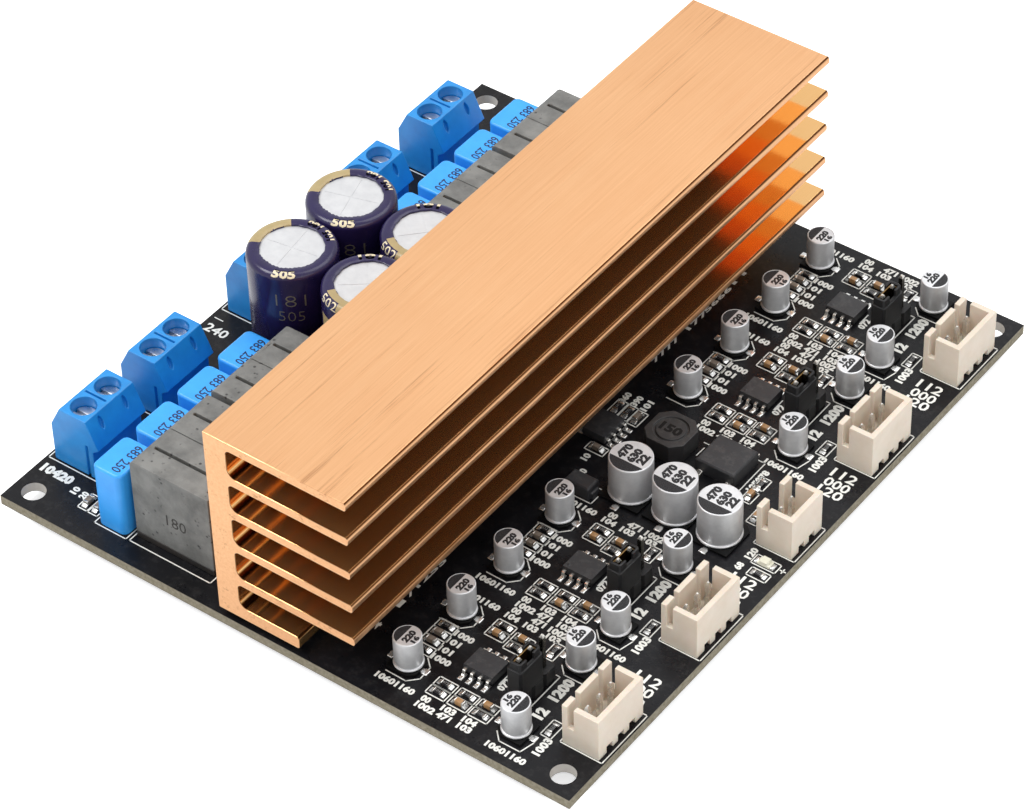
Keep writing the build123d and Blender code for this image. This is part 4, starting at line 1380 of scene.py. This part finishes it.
# Headers, selectors and pins
headerLook = {
    "ivory": {
        "colour": (217, 206, 191), "other": (206, 192, 173), "roughness": 0.42, "spread": 0.06,
        "grain": 1600.0, "depth": 0.006,
    },
    "gilded": {"colour": (112, 88, 54), "other": (70, 54, 32), "roughness": 0.36, "driftScale": 2500.0},
    # A darker copy of the tinned metal for the selector pins' shafts: painted shade
    "shadedPinMetal": {"colour": (104, 101, 94), "other": (70, 68, 62), "roughness": 0.26, "driftScale": 1500.0},
    "edge": 0.1,
    "baseEdge": 0.08,
    "capEdge": 0.07,
    "contactEdge": 0.03,
    # The tapers' lengths at a pin's two ends, how narrow they get, and how far down a pin is bright; below
    # that the selector pins carry painted shade
    "upperTip": 0.44,
    "lowerTip": 0.32,
    "taper": 0.4,
    "brightLength": 0.48,
}


def makePins(node, name, materials):
    # Square pins with tapered tips at both ends, bright at the top and in the second material below that,
    # which for the selector pins is painted shade
    bm = bmesh.new()
    look = headerLook
    for low, high in solidsOf(node):
        pin = bmesh.new()
        addBox(pin, low, high)
        centre = (low + high) / 2
        for level, step in ((high.z, -look["upperTip"] * mm), (low.z, look["lowerTip"] * mm)):
            end = [face for face in pin.faces if abs(face.calc_center_median().z - level) < 0.01 * mm]
            tip = bmesh.ops.extrude_discrete_faces(pin, faces=end)["faces"][0].verts[:]
            base = [vert for vert in pin.verts if abs(vert.co.z - level) < 0.01 * mm and vert not in tip]
            bmesh.ops.translate(pin, verts=base, vec=(0, 0, step))
            for vert in tip:
                vert.co.xy = centre.xy + (vert.co.xy - centre.xy) * look["taper"]
        bmesh.ops.remove_doubles(pin, verts=pin.verts, dist=0.000001)
        for face in pin.faces:
            bright = face.calc_center_median().z >= high.z - look["brightLength"] * mm
            face.material_index = 0 if bright else len(materials) - 1
        bm.from_mesh(asMesh(pin))
    addPiece(name, bm, materials, replaced=[node])


def makeHeaders():
    look = headerLook
    ivory = makeFinish("ivoryNylon", look["ivory"], {"Subsurface Weight": 0.12, "Subsurface Scale": 0.003})
    roundedCopy("input_headers", "inputHeaders", ivory, look["edge"])
    makePins("input_pins", "inputPins", [tinned])
    roundedCopy("selector_bases", "selectorBases", blackNylon, look["baseEdge"])
    # The selector pins' shafts below their bright tips take the darker copy of the metal: painted shade
    shadedPinMetal = makeFinish("shadedPinMetal", look["shadedPinMetal"], {"Metallic": 1.0})
    makePins("selector_pins", "selectorPins", [tinned, shadedPinMetal])
    gilded = makeFinish("gildedContact", look["gilded"], {"Metallic": 1.0})
    for number in range(1, 5):
        body = f"jumper_cap_{number}"
        roundedCopy(body, f"jumperCap{number}", blackNylon, look["capEdge"], body=body)
        contact = f"jumper_contact_{number}"
        name = f"jumperContact{number}"
        roundedCopy(contact, name, gilded, look["contactEdge"], 1, body=body)


makeHeaders()
print("stage: headers ready")


# Converter parts
converterLook = {
    "shield": {
        "colour": (44, 43, 44), "other": (34, 33, 34), "roughness": 0.5, "grain": 2200.0, "depth": 0.02,
        "dust": 0.1,
    },
    "darkMark": {"colour": (15, 14, 14), "roughness": 0.6},
    "lens": {"colour": (240, 238, 220), "other": (226, 222, 196), "roughness": 0.16, "driftScale": 1600.0},
    "number": "150",
    "numberHeight": 1.7,
    "numberWidth": 3.4,
    "shieldEdge": 0.1,
    "caseEdge": 0.06,
    "tabLength": 1.15,
    "leadLength": 2.35,
    # The solder at the light's ends
    "padLength": 0.7,
    "padWidth": 1.2,
    "padHeight": 0.3,
    "padCover": 0.12,
}


def makeConverter():
    look = converterLook
    shield = makeFinish("powderedShield", look["shield"])
    roundedCopy("power_inductor", "powerInductor", shield, look["shieldEdge"])
    low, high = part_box("regulator")
    metal = (low.y + look["leadLength"] * mm, high.y - look["tabLength"] * mm)
    roundedCopy(
        "regulator", "regulatorCase", blackMoulding, look["caseEdge"], other=tinned,
        pick=lambda face: not metal[0] < face.calc_center_median().y < metal[1],
    )
    roundedCopy("diode", "diodeCase", blackMoulding, look["caseEdge"])
    low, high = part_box("power_inductor")
    numbers = bmesh.new()
    number = numberMesh(look["number"], look["numberHeight"], 0.02, 0.05, look["numberWidth"])
    stamp(numbers, number, placed(Vector((*((low + high) / 2).xy, high.z - inkDepth))))
    mark = makeFinish("darkMark", look["darkMark"], {"Specular IOR Level": 0.2})
    addPiece("powerInductorNumber", numbers, [mark])
    lens = makeFinish("ledLens", look["lens"], {"Transmission Weight": 0.08})
    roundedCopy("status_led", "statusLed", lens, look["caseEdge"])
    low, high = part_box("status_led")
    pads = bmesh.new()
    pad = makeSolderPad(look["padLength"] * mm, look["padWidth"] * mm, look["padHeight"] * mm)
    away = (look["padLength"] / 2 - look["padCover"]) * mm
    for x in (low.x - away, high.x + away):
        stamp(pads, pad, Matrix.Translation((x, (low.y + high.y) / 2, boardHigh.z)))
    addPiece("statusLedSolder", pads, [solder], weighted=True)


makeConverter()
print("stage: converter ready")


# Print on the board, in millimetres from its corner beside the terminals
printLook = {
    "ink": {
        "colour": (238, 238, 232), "other": (205, 205, 200), "roughness": 0.55, "driftScale": 1400.0,
        "drift": 0.5,
    },
    "line": 0.17,
    "height": 0.02,
    "frame": (3.05, 1.66),
    # Left, right, low and high side of the frame round the light
    "lightFrame": (90.87, 94.7, 48.4, 50.23),
    # Nodes with a frame round each solid: how far outside it lies on the left, the right and at both ends
    "frames": {
        "input_headers": (0.3, 0.55, 0.12),
        "inductor_bases": (0.25, 0.3, 1.3),
        "film_capacitors": (0.3, 0.3, 0.35),
        "diode": (0.2, 0.2, 0.25),
        **{f"terminal_housing_{number}": (0.9, 0.35, 0.35) for number in range(1, 6)},
    },
    # Lines round the small cans in the two rows and beside the selectors, from each one's middle
    "innerArc": ((-1.8, -2.59), (1.5, -2.65), (2.8, -1.3), (2.7, 1.05), (1.4, 2.25)),
    "outerArc": ((-1.99, -1.55), (-0.75, -2.8), (2.55, -2.77), (3.11, -0.48)),
    "selectorRun": ((1.6, -4.1), (1.6, 4.1), (1.0, 4.1)),
    # A dash by each channel: its distance from the edge at -X, and its two ends from the channel's centre
    "channelDash": (76.8, -1.5, 0.7),
    # The channel and number that are left out, because the converter's parts lie there
    "leftOut": (2, "10601160", -9.15),
    # Height, step from number to number and boldness
    "sizes": {
        "tiny": (0.75, 1.65, 0.03),
        "small": (1.15, 0.81, 0.05),
        "medium": (1.3, 0.88, 0.05),
        "large": (1.75, 1.16, 0.06),
        "wide": (1.75, 1.42, 0.02),
    },
}

# Number, distance from the edge at -X and from the channel's centre, turn and size
channelLabels = (
    ("10601160", 65.6, -9.15, 0, "small"),
    ("10601160", 65.6, 9.45, 0, "small"),
    ("10601160", 84.6, -10.65, 0, "small"),
    ("1000", 68.05, 2.65, 0, "small"),
    ("101", 67.45, 1.05, 0, "small"),
    ("101", 67.45, -0.7, 0, "small"),
    ("1000", 68.0, -2.4, 0, "small"),
    ("00", 70.6, -9.1, 0, "small"),
    ("1002", 71.4, -10.35, 0, "small"),
    ("00", 70.75, 10.45, 0, "small"),
    ("104", 71.0, 9.2, 0, "small"),
    ("103", 74.2, -9.0, 0, "small"),
    ("471", 74.35, -10.3, 0, "small"),
    ("471", 74.4, 10.4, 0, "small"),
    ("103", 74.1, 9.1, 0, "small"),
    ("104", 77.6, -9.0, 0, "small"),
    ("103", 77.7, -10.3, 0, "small"),
    ("1002", 77.7, 10.35, 0, "small"),
    ("103", 77.7, 9.15, 0, "small"),
    ("072", 77.4, -1.2, 90, "small"),
    ("1200", 84.05, 2.35, 90, "large"),
    ("12", 84.2, -2.5, 90, "large"),
    ("1003", 87.85, -7.1, 90, "medium"),
)

# Number, place on the board, turn and size
loneLabels = (
    ("10420", 3.65, 7.75, 0, "large"),
    ("10", 7.8, 6.7, 90, "small"),
    ("20", 9.4, 6.6, 90, "small"),
    ("240", 2.8, 43.1, 0, "wide"),
    ("2230", 62.35, 48.7, 90, "small"),
    ("10", 61.0, 52.3, 90, "small"),
    ("360", 58.5, 65.2, 90, "small"),
    ("390", 60.3, 65.5, 90, "small"),
    ("101", 62.0, 65.5, 90, "small"),
    ("105078", 83.0, 61.9, 90, "small"),
    ("120", 90.1, 49.85, 90, "small"),
    ("68", 90.0, 46.95, 90, "small"),
    ("4", 57.35, 10.3, 90, "tiny"),
    ("1", 57.35, 15.3, 90, "tiny"),
    ("7", 57.3, 17.5, 90, "tiny"),
    ("1255", 57.2, 22.1, 90, "tiny"),
    ("7777", 57.4, 76.6, 90, "tiny"),
    ("177", 57.5, 84.2, 90, "tiny"),
    ("5666", 57.4, 89.6, 90, "tiny"),
    ("11", 57.2, 95.2, 90, "tiny"),
)

# Lines around the supply's parts, each through these places on the board
loneRuns = (
    ((80.6, 65.35), (81.9, 65.35), (81.95, 58.75)),
    ((72.7, 64.0), (73.6, 64.0)),
    ((73.25, 61.3), (73.3, 63.1)),
    ((95.0, 49.4), (95.8, 49.4)),
    ((95.4, 49.0), (95.4, 49.8)),
    ((0.8, 45.2), (2.2, 45.2)),
)

# Rows of large numbers beside each header, from its middle
headerLabels = (("112", 92.15), ("000", 92.25), ("120", 92.25))
headerRows = ((10.35, 8.3, 6.25), (10.35, 8.3, 6.25), (), (-7.1, -9.1, -10.9), (-7.1, -9.1, -10.9))


def addLine(bm, start, end):
    # A printed line between two places on the board
    width = printLook["line"] * mm
    first = spot(*start)
    last = spot(*end)
    turn = math.degrees(math.atan2(last.y - first.y, last.x - first.x))
    line = bmesh.new()
    half = (last - first).length / 2 + width / 2
    addBox(line, (-half, -width / 2, 0), (half, width / 2, printLook["height"] * mm))
    stamp(bm, asMesh(line), placed((first + last) / 2, turn))


def addRun(bm, points, x=0.0, y=0.0):
    points = [(x + dx, y + dy) for dx, dy in points]
    for start, end in zip(points, points[1:]):
        addLine(bm, start, end)


def addLabel(bm, text, x, y, turn, size):
    height, pitch, bold = printLook["sizes"][size]
    mesh = numberMesh(text, height, printLook["height"], bold, pitch * len(text) - 0.2 * height)
    stamp(bm, mesh, placed(spot(x, y), turn))


def onBoard(point):
    # The same place in millimetres from the board's corner
    return ((point.x - boardLow.x) / mm, (point.y - boardLow.y) / mm)


def frameLines(left, right, low, high):
    # The four sides of a frame, rounded so that shared sides count once
    left, right, low, high = [round(value, 2) for value in (left, right, low, high)]
    corners = [(left, low), (right, low), (right, high), (left, high), (left, low)]
    return [tuple(sorted(pair)) for pair in zip(corners, corners[1:])]


def framesAround(node, margins):
    # A frame round each solid of a node, this far outside its sides
    lines = set()
    for low, high in solidsOf(node):
        left, front = onBoard(low)
        right, back = onBoard(high)
        lines.update(frameLines(left - margins[0], right + margins[1], front - margins[2], back + margins[2]))
    return lines


def makeBoardPrint():
    bm = bmesh.new()
    lines = set(frameLines(*printLook["lightFrame"]))
    frameLong, frameWide = printLook["frame"]
    for node in ("chip_resistors", "chip_capacitors"):
        for low, high in solidsOf(node):
            across = high.x - low.x > high.y - low.y
            width, length = (frameLong, frameWide) if across else (frameWide, frameLong)
            x, y = onBoard(middleOf((low, high)))
            lines.update(frameLines(x - width / 2, x + width / 2, y - length / 2, y + length / 2))
    for node, margins in printLook["frames"].items():
        lines |= framesAround(node, margins)
    for start, end in sorted(lines):
        addLine(bm, start, end)
    for pair in solidsOf("small_capacitors"):
        centre = middleOf(pair)
        addRun(bm, printLook["innerArc" if besideHeatsink(centre) else "outerArc"], *onBoard(centre))
    dash, dashLow, dashHigh = printLook["channelDash"]
    for channel, pair in enumerate(solidsOf("selector_bases")):
        x, y = onBoard(middleOf(pair))
        addRun(bm, printLook["selectorRun"], x, y)
        addLine(bm, (dash, y + dashLow), (dash, y + dashHigh))
        for text, place, step, turn, size in channelLabels:
            if (channel, text, step) != printLook["leftOut"]:
                addLabel(bm, text, place, y + step, turn, size)
    for label in loneLabels:
        addLabel(bm, *label)
    for points in loneRuns:
        addRun(bm, points)
    for pair, steps in zip(solidsOf("input_headers"), headerRows):
        y = onBoard(middleOf(pair))[1]
        for (text, place), step in zip(headerLabels, steps):
            addLabel(bm, text, place, y + step, 0, "wide")
    addPiece("boardPrint", bm, [makeFinish("whitePrint", printLook["ink"])])


makeBoardPrint()
print("stage: print ready")


# Solder joints under the board
jointLook = {
    "cone": ((0.98, 0.0), (0.86, -0.12), (0.64, -0.4), (0.5, -0.8), (0.42, -1.15), (0.0, -1.3)),
    "steps": 20,
    "leadReach": 1.3,
    "nodes": (
        "input_pins", "selector_pins", "terminal_contacts", "inductor_windings", "film_capacitors",
        "bulk_capacitors",
    ),
}


def leadEnds(node):
    # The middle of each lead's lower end, found from a CAD node's lowest points
    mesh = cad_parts[node].data
    bottom = min(vert.co.z for vert in mesh.vertices) + 0.01 * mm
    groups = []
    for vert in mesh.vertices:
        if vert.co.z < bottom:
            near = [group for group in groups if (group[0] - vert.co).length < jointLook["leadReach"] * mm]
            if near:
                near[0].append(vert.co.copy())
            else:
                groups.append([vert.co.copy()])
    ends = []
    for group in groups:
        columns = [[point[axis] for point in group] for axis in range(2)]
        ends.append([(min(column) + max(column)) / 2 for column in columns])
    return ends


def makeSolderJoints():
    cone = bmesh.new()
    addSpin(cone, jointLook["cone"], jointLook["steps"])
    cone = asMesh(cone)
    joints = bmesh.new()
    for node in jointLook["nodes"]:
        for end in leadEnds(node):
            stamp(joints, cone, Matrix.Translation((*end, boardLow.z)))
    addPiece("solderJoints", joints, [solder])


makeSolderJoints()
print("stage: solder joints ready")
